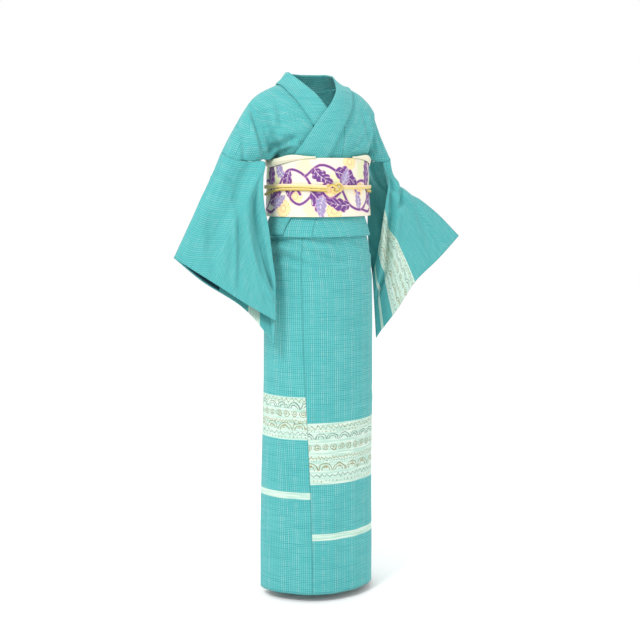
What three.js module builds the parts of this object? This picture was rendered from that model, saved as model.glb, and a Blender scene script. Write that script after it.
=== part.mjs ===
// A woman's kimono as it is worn: left front over right, folded up at the waist and tied
// with an obi, its scarf (obiage) and its cord (obijime). Every panel is its own cloth wall.
// Millimetres. +Z up, the figure faces -Y, the wearer's left is +X.
// The origin is on the body's axis at the height of the nape, where the wearer holds the collar.
import * as THREE from 'three';

// ---- driving dimensions -------------------------------------------------------------------
const CLOTH = 2;             // wall of the kimono cloth
const COLLAR_CLOTH = 3;      // the collar is folded double
const OBI_CLOTH = 3;
const LINING_CLOTH = 1;
const SEAM_GAP = 0.7;        // between pieces that are sewn to each other
const FOLD_PITCH = 4.5;      // from one layer of the waist fold to the next
const TIGHT_PITCH = 2.5;     // the same at the right side, where the left okumi lies over it
const RIM_DIP = 22;          // the obi's rim is this much lower at the sides
const OVERLAP = 8;           // the left front lies this far outside the right front
const HEM_Z = -1285;
const OBI_TOP_Z = -196;      // where the chest's cloth goes under the obi
const WAIST_FOLD_TOP_Z = -290;
const WAIST_FOLD_BOTTOM_Z = -391;
const SIDE_SEAM = 70;        // degrees from the front, below the waist
const OKUMI_EDGE = 92;       // free edge of the overlap panel, degrees round to the other side
const OBI_BOTTOM_Z = -345;
const OBI_RIM_Z = -204;
const OBI_OFFSET = 25.4;     // middle of the obi's wall, outside the body's base section
const OBI_LAP = 4.2;         // how far the obi's outer end stands off the turn below it
const OBIAGE_HIGH = 17;
const OBIAGE_LOW = 4;        // at its ends
const OBIAGE_THICK = 6;
const CORD_Z = -274;
const CORD_HIGH = 9;         // the cord is a flat braid
const CORD_THICK = 5;
const KNOT_TURN = -3;
const KNOT_WIDE = 13;
const KNOT_HIGH = 10;
const KNOT_CORD = 7;
const COLLAR_LIFT = 4.4;     // middle of the collar's wall above the middle of the panel's
const COLLAR_ROLL = 3;       // how far the collar's fold swells at the nape
const COLLAR_TUCK = 0.035;   // the panel's edge reaches this far under the collar
const COLLAR_COLUMNS = 5;
const PANEL_COLUMNS = 9;
const ARMHOLE_END = 0.62;    // how far down the chest's edge the sleeve is sewn on
const ARMHOLE_GAP = 1.6;
const UNDER_TUCK = 4.5;      // the right okumi's edge lies this far inside the left side
const OKUMI_TUCK = 0.28;     // the okumi goes on under the collar's width at the obi
const RIDGE_GAP = 0.004;     // front and back part this far down from the shoulder's ridge

// Half width and half depth of the innermost layer, by height.
const SECTIONS = [
  { at: HEM_Z, width: 142, depth: 116 },
  { at: -1000, width: 141, depth: 116 },
  { at: -700, width: 141, depth: 116 },
  { at: -520, width: 139, depth: 115 },
  { at: -475, width: 137, depth: 113 },
  { at: -430, width: 133, depth: 109 },
  { at: -400, width: 126, depth: 103 },
  { at: -370, width: 118, depth: 96 },
  { at: -345, width: 110, depth: 88 },
  { at: -300, width: 106, depth: 83 },
  { at: OBI_TOP_Z, width: 104, depth: 82 },
];

// Lines of cloth from the shoulder down to the obi. `line` runs from the right sleeve's seam (-1)
// over the centre (0) to the left sleeve's seam (1); `turn` is where the line meets the obi.
const CHEST = [
  { at: -1, top: [-253, 0, -192], high: [-264, -58, -206], low: [-185, -50, -228], turn: -88 },
  { at: -0.85, top: [-221, 8, -140], high: [-228, -56, -150], low: [-168, -66, -200], turn: -84 },
  { at: -0.7, top: [-184, 19, -87], high: [-190, -44, -96], low: [-144, -72, -168], turn: -74 },
  { at: -0.5, top: [-148, 31, -51], high: [-150, -36, -58], low: [-122, -88, -146], turn: -56 },
  { at: -0.28, top: [-94, 40, -25], high: [-94, -28, -28], low: [-82, -104, -130], turn: -35 },
  { at: 0, top: [0, -22, -20], high: [0, -70, -50], low: [0, -114, -132], turn: 0 },
  { at: 0.28, top: [82, 38, -30], high: [84, -28, -32], low: [78, -104, -130], turn: 35 },
  { at: 0.5, top: [120, 32, -50], high: [124, -34, -58], low: [116, -90, -146], turn: 56 },
  { at: 0.7, top: [144, 23, -80], high: [156, -38, -90], low: [136, -72, -168], turn: 72 },
  { at: 0.85, top: [161, 8, -135], high: [170, -46, -146], low: [152, -64, -200], turn: 82 },
  { at: 1, top: [185, -2, -192], high: [198, -56, -206], low: [166, -50, -228], turn: 88 },
];
const BACK = [
  { at: -1, top: [-253, 0, -192], high: [-262, 50, -206], low: [-185, 58, -228], turn: -92 },
  { at: -0.85, top: [-221, 8, -140], high: [-228, 64, -150], low: [-168, 80, -200], turn: -98 },
  { at: -0.7, top: [-184, 19, -87], high: [-190, 80, -98], low: [-146, 90, -168], turn: -108 },
  { at: -0.5, top: [-148, 31, -51], high: [-150, 96, -62], low: [-124, 102, -146], turn: -124 },
  { at: -0.28, top: [-94, 40, -25], high: [-94, 108, -36], low: [-82, 112, -130], turn: -145 },
  { at: -0.2, top: [-75, 78, -40], high: [-70, 113, -52], low: [-60, 115, -133], turn: -155 },
  { at: -0.12, top: [-43, 102, -46], high: [-42, 121, -66], low: [-36, 117, -137], turn: -165 },
  { at: 0, top: [0, 112, -47], high: [0, 127, -80], low: [0, 118, -140], turn: -180 },
  { at: 0.12, top: [41, 102, -46], high: [40, 120, -66], low: [34, 117, -137], turn: -195 },
  { at: 0.2, top: [67, 78, -41], high: [64, 112, -53], low: [58, 115, -133], turn: -205 },
  { at: 0.28, top: [82, 38, -30], high: [84, 106, -40], low: [78, 112, -130], turn: -215 },
  { at: 0.5, top: [120, 32, -50], high: [124, 92, -62], low: [116, 102, -146], turn: -236 },
  { at: 0.7, top: [144, 23, -80], high: [156, 76, -92], low: [136, 90, -168], turn: -252 },
  { at: 0.85, top: [161, 8, -135], high: [170, 58, -148], low: [152, 80, -200], turn: -262 },
  { at: 1, top: [185, -2, -192], high: [198, 46, -206], low: [168, 58, -228], turn: -268 },
];
const NECK_LINE = 0.28;      // the lines beyond this one start on the shoulder's ridge
const RIDGE = {
  '-1': CHEST.filter((row) => row.at <= -NECK_LINE),
  '1': CHEST.filter((row) => row.at >= NECK_LINE),
};

// ---- small tools --------------------------------------------------------------------------
const vec = (x, y, z) => new THREE.Vector3(x, y, z);
const mix = (a, b, t) => a + (b - a) * t;
const smooth = (t) => THREE.MathUtils.smoothstep(t, 0, 1);
const bump = (x) => Math.exp(-x * x);
const range = (count) => Array.from({ length: count + 1 }, (_, i) => i / count);

/** Smooth value of one column of a table, at a place along its `at` column. */
function read(rows, column, at) {
  const rising = rows[0].at < rows[rows.length - 1].at;
  const table = rising ? rows : [...rows].reverse();
  const place = THREE.MathUtils.clamp(at, table[0].at, table[table.length - 1].at);
  let i = 0;
  while (i < table.length - 2 && place > table[i + 1].at) i += 1;
  const pick = (k) => table[THREE.MathUtils.clamp(k, 0, table.length - 1)];
  const t = (place - table[i].at) / (table[i + 1].at - table[i].at);
  const hermite = (value) => {
    const span = table[i + 1].at - table[i].at;
    const slope = (k) => {
      const before = pick(k - 1);
      const after = pick(k + 1);
      return ((value(after) - value(before)) / (after.at - before.at)) * span;
    };
    const a = value(table[i]);
    const b = value(table[i + 1]);
    return a * (2 * t ** 3 - 3 * t ** 2 + 1) + slope(i) * (t ** 3 - 2 * t ** 2 + t)
      + b * (3 * t ** 2 - 2 * t ** 3) + slope(i + 1) * (t ** 3 - t ** 2);
  };
  if (Array.isArray(table[0][column])) {
    return vec(...[0, 1, 2].map((axis) => hermite((row) => row[column][axis])));
  }
  return hermite((row) => row[column]);
}

/** A point of the body's section: `turn` in degrees from the front towards the wearer's left. */
function around(turn, z, offset) {
  const angle = THREE.MathUtils.degToRad(turn);
  const width = read(SECTIONS, 'width', z) + offset;
  const depth = read(SECTIONS, 'depth', z) + offset;
  return vec(width * Math.sin(angle), -depth * Math.cos(angle), z);
}

/** A point between the shoulder (down = 0) and the obi (down = 1) on a table's surface. */
function drape(table, line, down) {
  const ends = [
    read(Math.abs(line) < NECK_LINE ? table : RIDGE[Math.sign(line)], 'top', line),
    read(table, 'high', line),
    read(table, 'low', line),
    around(read(table, 'turn', line), OBI_TOP_Z, 2 * FOLD_PITCH),
  ];
  const curve = new THREE.CubicBezierCurve3(...ends);
  return curve.getPoint(down);
}

/** The direction out of a table's surface. */
function drapeNormal(table, line, down) {
  const step = 0.01;
  const [left, right] = [Math.max(line - step, -1), Math.min(line + step, 1)];
  const [above, below] = [Math.max(down - step, 0), Math.min(down + step, 1)];
  const across = drape(table, right, down).sub(drape(table, left, down));
  const along = drape(table, line, below).sub(drape(table, line, above));
  const normal = across.cross(along).normalize();
  return table === BACK ? normal : normal.negate();
}

/** A closed wall about the surface given by grid[row][column]; `ring` joins the columns' ends. */
function wall(grid, thickness, ring = false) {
  const rows = grid.length;
  const columns = grid[0].length;
  const at = (i, j) => grid[THREE.MathUtils.clamp(i, 0, rows - 1)][
    ring ? (j + columns) % columns : THREE.MathUtils.clamp(j, 0, columns - 1)];
  const points = [];
  for (const side of [0.5, -0.5]) {
    for (let i = 0; i < rows; i += 1) {
      for (let j = 0; j < columns; j += 1) {
        const down = at(i + 1, j).clone().sub(at(i - 1, j));
        const across = at(i, j + 1).clone().sub(at(i, j - 1));
        const normal = across.cross(down).normalize();
        points.push(at(i, j).clone().addScaledVector(normal, side * thickness));
      }
    }
  }
  const faces = [];
  const quad = (a, b, c, d, turned = false) => (turned
    ? faces.push(b, c, d, b, d, a)
    : faces.push(a, b, c, a, c, d));
  const outer = (i, j) => i * columns + (j % columns);
  const inner = (i, j) => rows * columns + outer(i, j);
  const spans = ring ? columns : columns - 1;
  for (let i = 0; i < rows - 1; i += 1) {
    for (let j = 0; j < spans; j += 1) {
      const shorter = at(i, j + 1).distanceTo(at(i + 1, j)) < at(i, j).distanceTo(at(i + 1, j + 1));
      quad(outer(i, j), outer(i, j + 1), outer(i + 1, j + 1), outer(i + 1, j), shorter);
      quad(inner(i, j), inner(i + 1, j), inner(i + 1, j + 1), inner(i, j + 1), shorter);
    }
  }
  for (let j = 0; j < spans; j += 1) {
    quad(outer(0, j + 1), outer(0, j), inner(0, j), inner(0, j + 1));
    quad(outer(rows - 1, j), outer(rows - 1, j + 1), inner(rows - 1, j + 1), inner(rows - 1, j));
  }
  if (!ring) {
    const last = columns - 1;
    for (let i = 0; i < rows - 1; i += 1) {
      quad(outer(i, 0), outer(i + 1, 0), inner(i + 1, 0), inner(i, 0));
      quad(outer(i + 1, last), outer(i, last), inner(i, last), inner(i + 1, last));
    }
  }
  return solid(points, faces);
}

/** A closed mesh with its faces turned out. */
function solid(points, faces) {
  let volume = 0;
  for (let k = 0; k < faces.length; k += 3) {
    const [a, b, c] = [points[faces[k]], points[faces[k + 1]], points[faces[k + 2]]];
    volume += a.dot(b.clone().cross(c));
  }
  if (volume < 0) {
    for (let k = 0; k < faces.length; k += 3) {
      [faces[k], faces[k + 1]] = [faces[k + 1], faces[k]];
    }
  }
  const geometry = new THREE.BufferGeometry();
  const places = points.flatMap((point) => point.toArray());
  geometry.setAttribute('position', new THREE.Float32BufferAttribute(places, 3));
  geometry.setIndex(faces);
  geometry.computeVertexNormals();
  return geometry;
}

// ---- folds of the upper body --------------------------------------------------------------
// Each is a trough (depth > 0) or a ridge (depth < 0) along a line on the chest or the back.
const CHEST_FOLDS = [
  { side: -1, from: [-0.6, 0.06], to: [-0.79, 1.05], width: 0.08, depth: 16 },
  { side: -1, from: [-0.4, 0.8], to: [-0.62, 0.95], width: 0.09, depth: 8 },
  { side: 1, from: [0.66, 0.3], to: [0.8, 1.05], width: 0.09, depth: 12 },
];
const BACK_FOLDS = [
  { side: -1, from: [-0.62, 0.1], to: [-0.8, 1.0], width: 0.07, depth: 14 },
  { side: 1, from: [0.62, 0.15], to: [0.8, 1.0], width: 0.07, depth: 14 },
];

/** How deep the folds of one list are at a place on the surface. */
function foldDepth(folds, line, down) {
  let depth = 0;
  for (const fold of folds) {
    const run = [fold.to[0] - fold.from[0], fold.to[1] - fold.from[1]];
    const off = [line - fold.from[0], down - fold.from[1]];
    const t = (off[0] * run[0] + off[1] * run[1]) / (run[0] ** 2 + run[1] ** 2);
    const near = THREE.MathUtils.clamp(t, 0, 1);
    const gap = Math.hypot(off[0] - near * run[0], off[1] - near * run[1]);
    depth += fold.depth * bump(gap / fold.width) * smooth(near * 4) * smooth((1 - down) * 12);
  }
  return depth;
}

/** One side's cloth of the chest or back, `out` mm outside its middle surface. */
function cloth(table, side, line, down, out = 0) {
  const folds = (table === BACK ? BACK_FOLDS : CHEST_FOLDS).filter((fold) => fold.side === side);
  const depth = foldDepth(folds, line, down);
  return drape(table, line, down).addScaledVector(drapeNormal(table, line, down), out - depth);
}

/** How far the left front stands outside the right one: nothing at the shoulder and the arm. */
const overlapAtChest = (line, down) => OVERLAP * smooth((0.85 - line) / 0.4) * smooth(down / 0.2);
const overlapAt = (turn) => OVERLAP * smooth((SIDE_SEAM - turn) / 30);

// ---- collar line --------------------------------------------------------------------------
// Where the collar's seam and its free edge cross the chest, by height.
const OVER_COLLAR = [
  { at: -50, seam: 77, edge: 17 },
  { at: -88, seam: 53, edge: -13 },
  { at: -130, seam: 20, edge: -50 },
  { at: -165, seam: 0, edge: -76 },
  { at: -196, seam: -15, edge: -92 },
];
const UNDER_COLLAR = [
  { at: -50, seam: -87, edge: -31 },
  { at: -88, seam: -69, edge: -12 },
  { at: -130, seam: -49, edge: 14 },
  { at: -165, seam: -27, edge: 40 },
  { at: -196, seam: -4, edge: 60 },
];
// Round the neck, from its side to the nape.
const NECK = {
  '1': [
    { at: 0, seam: [82, 38, -26], edge: [54, 30, 0] },
    { at: 0.35, seam: [72, 82, -34], edge: [51, 66, 6] },
    { at: 0.7, seam: [42, 108, -41], edge: [32, 90, 7] },
    { at: 1, seam: [0, 117, -43], edge: [-4, 98, 7] },
  ],
  '-1': [
    { at: 0, seam: [-94, 40, -21], edge: [-65, 30, 6] },
    { at: 0.35, seam: [-80, 82, -33], edge: [-58, 66, 8] },
    { at: 0.7, seam: [-44, 108, -41], edge: [-36, 90, 8] },
    { at: 1, seam: [0, 117, -43], edge: [-4, 98, 7] },
  ],
};

/** The place (line, down) on the chest that lies at a given x and z. */
function findOnChest(x, z) {
  let line = x / 230;
  let down = (-20 - z) / 176;
  for (let step = 0; step < 30; step += 1) {
    const here = drape(CHEST, line, down);
    const toLine = drape(CHEST, line + 0.01, down).sub(here).divideScalar(0.01);
    const toDown = drape(CHEST, line, down + 0.01).sub(here).divideScalar(0.01);
    const [dx, dz] = [x - here.x, z - here.z];
    const det = toLine.x * toDown.z - toLine.z * toDown.x;
    line += (dx * toDown.z - dz * toDown.x) / det;
    down += (dz * toLine.x - dx * toLine.z) / det;
    down = THREE.MathUtils.clamp(down, 0, 1);
  }
  return { line, down };
}

/** The rows of one collar table as places on the chest, from the shoulder to the obi. */
function collarPlaces(table, column, side) {
  const places = table.map((row) => findOnChest(row[column], row.at));
  const neck = { line: NECK_LINE * side, down: 0 };
  return [neck, ...places].map((place) => ({ at: place.down, line: place.line }));
}
const SEAM_PLACES = {
  '1': collarPlaces(OVER_COLLAR, 'seam', 1),
  '-1': collarPlaces(UNDER_COLLAR, 'seam', -1),
};
// "Own" lines and turns count from the centre towards the panel's own side of the body.
const ownSeam = (side, down) => side * read(SEAM_PLACES[side], 'line', down);

// The seam between front and okumi leaves the collar at this place and drops to the obi.
const OKUMI_POINT = findOnChest(22, -128);
const OKUMI_LINE_AT_OBI = 0.07;
const okumiLine = (side, down) => mix(ownSeam(side, OKUMI_POINT.down), OKUMI_LINE_AT_OBI,
  smooth((down - OKUMI_POINT.down) / (1 - OKUMI_POINT.down)));

// ---- the way a panel runs below the chest -------------------------------------------------
/** Half a turn of the cloth from one layer to the next, at the top or bottom of the waist fold. */
function halfTurn(fromLayer, z, up) {
  const reach = (FOLD_PITCH / 2) * (up ? 1 : -1);
  return [45, 90, 135].map((degrees) => {
    const angle = THREE.MathUtils.degToRad(degrees);
    return { z: z + reach * Math.sin(angle), layer: fromLayer - 0.5 + 0.5 * Math.cos(angle) };
  });
}
const level = (layer, heights) => heights.map((z) => ({ z, layer }));
const SKIRT_HEIGHTS = [-320, -345, -370, -400, -430, -475, -520, -620, -760, -900, -1030, -1160, HEM_Z];
// Down under the obi, folded up behind itself, folded over the waist tie and down to the hem.
const FOLDED_PATH = [
  ...level(2, [-212, -232, -255, -280, -300, -320, -347, -370, WAIST_FOLD_BOTTOM_Z]),
  ...halfTurn(2, WAIST_FOLD_BOTTOM_Z, false),
  ...level(1, [WAIST_FOLD_BOTTOM_Z, -340, WAIST_FOLD_TOP_Z]),
  ...halfTurn(1, WAIST_FOLD_TOP_Z, true),
  ...level(0, [WAIST_FOLD_TOP_Z, ...SKIRT_HEIGHTS]),
];
// The right front is hidden at the waist: it goes straight down behind the left front's fold.
const STRAIGHT_PATH = [
  ...level(2, [-210]),
  { z: -235, layer: 1 },
  ...level(0, [-262, WAIST_FOLD_TOP_Z, ...SKIRT_HEIGHTS]),
];

/** Turn of the okumi's seam with the front, on the wearer's right for the left front. */
function okumiSeamTurn(row) {
  if (row.layer > 1.5) {
    return -mix(-5, 27, smooth((OBI_TOP_Z - row.z) / (OBI_TOP_Z - WAIST_FOLD_BOTTOM_Z)));
  }
  if (row.layer > 0.5) {
    return -mix(27, 38, (row.z - WAIST_FOLD_BOTTOM_Z) / (WAIST_FOLD_TOP_Z - WAIST_FOLD_BOTTOM_Z));
  }
  return -mix(38, 26.5, smooth((WAIST_FOLD_BOTTOM_Z - row.z) / (WAIST_FOLD_BOTTOM_Z - HEM_Z)));
}

/** From one layer of the waist fold to the next. */
function pitchAt(turn, side, inFront) {
  if (inFront) {
    return side > 0 ? mix(3.8, FOLD_PITCH, smooth((turn + 80) / 20)) : FOLD_PITCH;
  }
  return side < 0 ? mix(TIGHT_PITCH, FOLD_PITCH, smooth((-turn - 96) / 16)) : FOLD_PITCH;
}

/** How far a panel below the chest lies outside the base section. */
function layerOffset(row, turn, side, inFront) {
  const stack = row.layer * pitchAt(turn, side, inFront);
  if (!inFront) {
    return stack;
  }
  if (side < 0) {
    return stack - (row.layer < 1 ? UNDER_TUCK * smooth((turn - 40) / 30) : 0);
  }
  const low = smooth((-600 - row.z) / 600);
  const belowFold = row.layer < 0.5 ? smooth((WAIST_FOLD_BOTTOM_Z - row.z) / 60) : 0;
  const edge = mix(-3.5, 10, low) * belowFold * smooth((-turn - 50) / 40);
  return stack + overlapAt(turn) + edge;
}

const BODY_RADIUS = 130;
const SEAM_LINE = SEAM_GAP / 2 / BODY_RADIUS;
const SEAM_TURN = THREE.MathUtils.radToDeg(SEAM_LINE);

/** One panel: chest rows from edge to edge, then the rows of its path below. */
function panel({ table, path, downs, columns, lines, turns, side, over, inFront }) {
  const fractions = range(columns);
  const chestRows = downs.map((down) => fractions.map((f) => {
    const [from, to] = lines(down);
    const line = mix(from, to, f);
    return cloth(table, side, line, down, over ? overlapAtChest(line, down) : 0);
  }));
  const [fromTop, toTop] = lines(1).map((line) => read(table, 'turn', line));
  const lowerRows = path.map((row) => fractions.map((f) => {
    const settled = row.layer > 1.5 ? smooth((OBI_TOP_Z - row.z) / 120) : 1;
    const [from, to] = turns(row);
    const turn = mix(mix(fromTop, toTop, f), mix(from, to, f), settled);
    return around(turn, row.z, layerOffset(row, turn, side, inFront));
  }));
  return wall([...chestRows, ...lowerRows], CLOTH);
}

const steps = (from, to, count) => range(count).map((f) => mix(from, to, f));

function front(side) {
  const inner = (down) => (down < OKUMI_POINT.down
    ? ownSeam(side, down) - COLLAR_TUCK
    : Math.max(okumiLine(side, down) + SEAM_LINE, ownSeam(side, down) - COLLAR_TUCK));
  return panel({
    table: CHEST,
    path: side > 0 ? FOLDED_PATH : STRAIGHT_PATH,
    downs: steps(RIDGE_GAP, 1, 12),
    columns: PANEL_COLUMNS,
    lines: (down) => [side * inner(down), side],
    turns: (row) => [side * (okumiSeamTurn(row) + SEAM_TURN), side * (SIDE_SEAM - SEAM_TURN)],
    side,
    over: side > 0,
    inFront: true,
  });
}

function back(side) {
  return panel({
    table: BACK,
    path: FOLDED_PATH,
    downs: steps(RIDGE_GAP, 1, 10),
    columns: PANEL_COLUMNS,
    lines: () => [side * SEAM_LINE, side],
    turns: () => (side > 0
      ? [-180 - SEAM_TURN, SIDE_SEAM + SEAM_TURN - 360]
      : [-180 + SEAM_TURN, -SIDE_SEAM - SEAM_TURN]),
    side,
    over: false,
    inFront: false,
  });
}

/** The overlap panel: from the collar's seam down to the hem, beside the front. */
function okumi(side) {
  const tuckAt = (down) => OKUMI_TUCK * smooth((down - OKUMI_POINT.down) / (1 - OKUMI_POINT.down));
  return panel({
    table: CHEST,
    path: side > 0 ? FOLDED_PATH : STRAIGHT_PATH,
    downs: steps(OKUMI_POINT.down + 0.08, 1, 5),
    columns: 7,
    lines: (down) => [
      side * (ownSeam(side, down) - tuckAt(down)),
      side * (okumiLine(side, down) - SEAM_LINE)],
    turns: (row) => [-side * OKUMI_EDGE, side * (okumiSeamTurn(row) - SEAM_TURN)],
    side,
    over: side > 0,
    inFront: true,
  });
}

// ---- collar -------------------------------------------------------------------------------
const COLLAR_HEIGHTS = [-50, -68, -88, -108, -130, -148, -165, -181, OBI_TOP_Z];

/** One half of the collar's rows, each from seam to free edge, from the shoulder down. */
function collarFront(side) {
  const table = side > 0 ? OVER_COLLAR : UNDER_COLLAR;
  const places = (column) => table.map((row) => ({ at: row.at, ...findOnChest(row[column], row.at) }));
  const [seams, edges] = [places('seam'), places('edge')];
  const onChest = (line, down) => drape(CHEST, line, down).addScaledVector(
    drapeNormal(CHEST, line, down),
    COLLAR_LIFT + (side > 0 ? overlapAtChest(line, down) : 0),
  );
  const rows = COLLAR_HEIGHTS.map((z) => range(COLLAR_COLUMNS).map((f) => onChest(
    mix(read(seams, 'line', z), read(edges, 'line', z), f),
    mix(read(seams, 'down', z), read(edges, 'down', z), f),
  )));
  return [...collarShoulder(side, seams[0], rows, onChest), ...rows];
}

/** Rows over the shoulder: the seam stays on the panel, the rest bends on from the neck. */
function collarShoulder(side, firstSeam, rows, onChest) {
  const neck = [0.35, 0].map((f) => range(COLLAR_COLUMNS).map((g) => neckPoint(side, f, g)));
  return [0.2, 0.4, 0.6, 0.8].map((f) => range(COLLAR_COLUMNS).map((g, column) => {
    const along = new THREE.CatmullRomCurve3([...neck, rows[0], rows[1]].map((row) => row[column]));
    const point = along.getPoint((1 + f) / 3);
    const seam = onChest(mix(NECK_LINE * side, firstSeam.line, f), firstSeam.down * f);
    return point.lerp(seam, (1 - g) ** 2);
  }));
}

function neckPoint(side, f, g) {
  const point = read(NECK[side], 'seam', f).lerp(read(NECK[side], 'edge', f), g);
  point.y += COLLAR_ROLL * Math.sin(Math.PI * g) * f;
  return point;
}

/** The over collar goes on under the obi and ends in the waist fold. */
function collarUnderObi() {
  const offset = 2 * FOLD_PITCH + OVERLAP + COLLAR_LIFT;
  return [-212, -232, -255, -280, -300, -320, -347, -370, -388].map((z) => {
    const f = smooth((OBI_TOP_Z - z) / (OBI_TOP_Z - WAIST_FOLD_BOTTOM_Z));
    const [seam, edge] = [mix(-7.6, -59, f), mix(-53, -94, f)];
    return range(COLLAR_COLUMNS).map((g) => around(mix(seam, edge, g), z, offset));
  });
}

/** Rows round one half of the neck, from its side to the nape. */
const collarNeck = (side) => range(6).map((f) => range(COLLAR_COLUMNS).map((g) => neckPoint(side, f, g)));

function collar() {
  return wall([
    ...collarFront(-1).reverse(),
    ...collarNeck(-1),
    ...collarNeck(1).reverse().slice(1),
    ...collarFront(1),
    ...collarUnderObi(),
  ], COLLAR_CLOTH);
}

// ---- sleeves ------------------------------------------------------------------------------
// Corners of each sleeve: the cuff's top, and per layer the rest of its inner and outer edge.
const SLEEVES = {
  '-1': {
    cuff: [-388, -30, -438],
    front: {
      inner: [
        [-175, -54, -228], [-177, -58, -268], [-171, -60, -313], [-163, -68, -366], [-158, -82, -446],
        [-154, -88, -490],
      ],
      outer: [[-292, -65, -504], [-226, -83, -550], [-157, -96, -592]],
    },
    back: {
      inner: [[-176, 60, -245], [-170, 52, -300], [-168, 20, -400], [-160, -50, -520]],
      outer: [[-320, -30, -495], [-226, -46, -558], [-186, -78, -609], [-161, -90, -649]],
    },
    elbow: [0, 0, 0],
  },
  '1': {
    cuff: [395, -30, -404],
    front: {
      inner: [[172, -52, -245], [166, -46, -320], [160, -30, -410], [157, 0, -500]],
      outer: [[325, -44, -462], [254, -50, -517], [208, -40, -587], [162, -10, -661]],
    },
    back: {
      inner: [[176, 60, -245], [170, 56, -330], [166, 46, -410], [163, 12, -510]],
      outer: [[322, -14, -470], [256, -18, -526], [212, -14, -594], [166, -2, -665]],
    },
    elbow: [-14, 0, -26],
  },
};
const SLEEVE_FOLDS = [
  { side: -1, layer: 'front', from: [0.1, 0.3], to: [0.36, 0.95], width: 0.07, depth: 14 },
  { side: -1, layer: 'front', from: [0.34, 0.3], to: [0.62, 0.95], width: 0.08, depth: -9 },
  { side: -1, layer: 'back', from: [0.2, 0.35], to: [0.5, 0.9], width: 0.08, depth: 10 },
  { side: 1, layer: 'front', from: [0.12, 0.2], to: [0.4, 0.9], width: 0.07, depth: 12 },
  { side: 1, layer: 'back', from: [0.2, 0.3], to: [0.5, 0.9], width: 0.08, depth: 10 },
];

/** Smooth curve through points, read at 0..1 of its length. */
const through = (points) => new THREE.CatmullRomCurve3(points, false, 'centripetal');

const ELBOW_PEAK = 12.2;    // makes the arm's bend 1 at its highest

/** A sleeve's layer: its inner edge, sewn to the armhole and then free, and its outer edge. */
function sleeveLayer(side, layer) {
  const table = layer === 'front' ? CHEST : BACK;
  const { cuff } = SLEEVES[side];
  const away = vec(...cuff).sub(read(table, 'top', side)).normalize().multiplyScalar(ARMHOLE_GAP);
  const sewn = steps(0, ARMHOLE_END, 6).map((down) => cloth(table, side, side, down).add(away));
  const free = SLEEVES[side][layer].inner.map((point) => vec(...point));
  const outer = [cuff, ...SLEEVES[side][layer].outer].map((point) => vec(...point));
  return { inner: through([...sewn, ...free]), outer: through(outer) };
}

/** A point of a sleeve: `along` from armhole to cuff, `down` from the arm to the bottom edge. */
function sleevePoint(side, layer, along, down) {
  const { inner, outer } = LAYERS[side][layer];
  const point = inner.getPointAt(down).lerp(outer.getPointAt(down), along);
  const bend = ELBOW_PEAK * along * (1 - along) ** 4 * (1 - down) ** 2;
  return point.addScaledVector(vec(...SLEEVES[side].elbow), bend);
}

function sleeveNormal(side, layer, along, down) {
  const step = 0.02;
  const [a, b] = [Math.max(along - step, 0), Math.min(along + step, 1)];
  const [c, d] = [Math.max(down - step, 0), Math.min(down + step, 1)];
  const across = sleevePoint(side, layer, b, down).sub(sleevePoint(side, layer, a, down));
  const drop = sleevePoint(side, layer, along, d).sub(sleevePoint(side, layer, along, c));
  const turned = (layer === 'front') === (side < 0) ? across.cross(drop) : drop.cross(across);
  return turned.normalize();
}

function sleeveCloth(side, layer, along, down, out = 0) {
  const folds = SLEEVE_FOLDS.filter((fold) => fold.side === side && fold.layer === layer);
  const depth = foldDepth(folds, along, down);
  return sleevePoint(side, layer, along, down)
    .addScaledVector(sleeveNormal(side, layer, along, down), out - depth);
}

const LAYERS = Object.fromEntries([-1, 1].map((side) => [side, {
  front: sleeveLayer(side, 'front'),
  back: sleeveLayer(side, 'back'),
}]));

function sleeve(side) {
  const downs = range(16);
  const rings = range(10).map((along) => [
    ...downs.map((down) => sleeveCloth(side, 'front', along, down)),
    ...[...downs].reverse().slice(0, -1).map((down) => sleeveCloth(side, 'back', along, down)),
  ]);
  return wall(rings, CLOTH, true);
}

/** The lining shows inside the cuff's opening: a strip over both layers near the edge. */
function cuffLining(side) {
  const downs = steps(0.07, 0.42, 7);
  const inside = -(CLOTH / 2 + SEAM_GAP + LINING_CLOTH / 2);
  return wall(steps(0.82, 0.99, 4).map((along) => [
    ...[...downs].reverse().map((down) => sleeveCloth(side, 'front', along, down, inside)),
    ...downs.map((down) => sleeveCloth(side, 'back', along, down, inside)),
  ]), LINING_CLOTH);
}

// ---- obi, its scarf and its cord ----------------------------------------------------------
/** Height of the obi's rim: highest at the front and the back. */
const rimZ = (turn) => OBI_RIM_Z - RIM_DIP * Math.sin(THREE.MathUtils.degToRad(turn)) ** 4;

/** The obi's wrap starts and ends at the back, where its outer end lies over the first turn. */
function obi() {
  const [start, end] = [-215, 205];
  return wall([0, 0.3, 0.68, 1].map((f) => steps(start, end, 52).map((turn) => {
    const lap = OBI_LAP * smooth((turn - 130) / 12);
    return around(turn, mix(rimZ(turn), OBI_BOTTOM_Z, f), OBI_OFFSET + lap);
  })), OBI_CLOTH);
}

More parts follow.
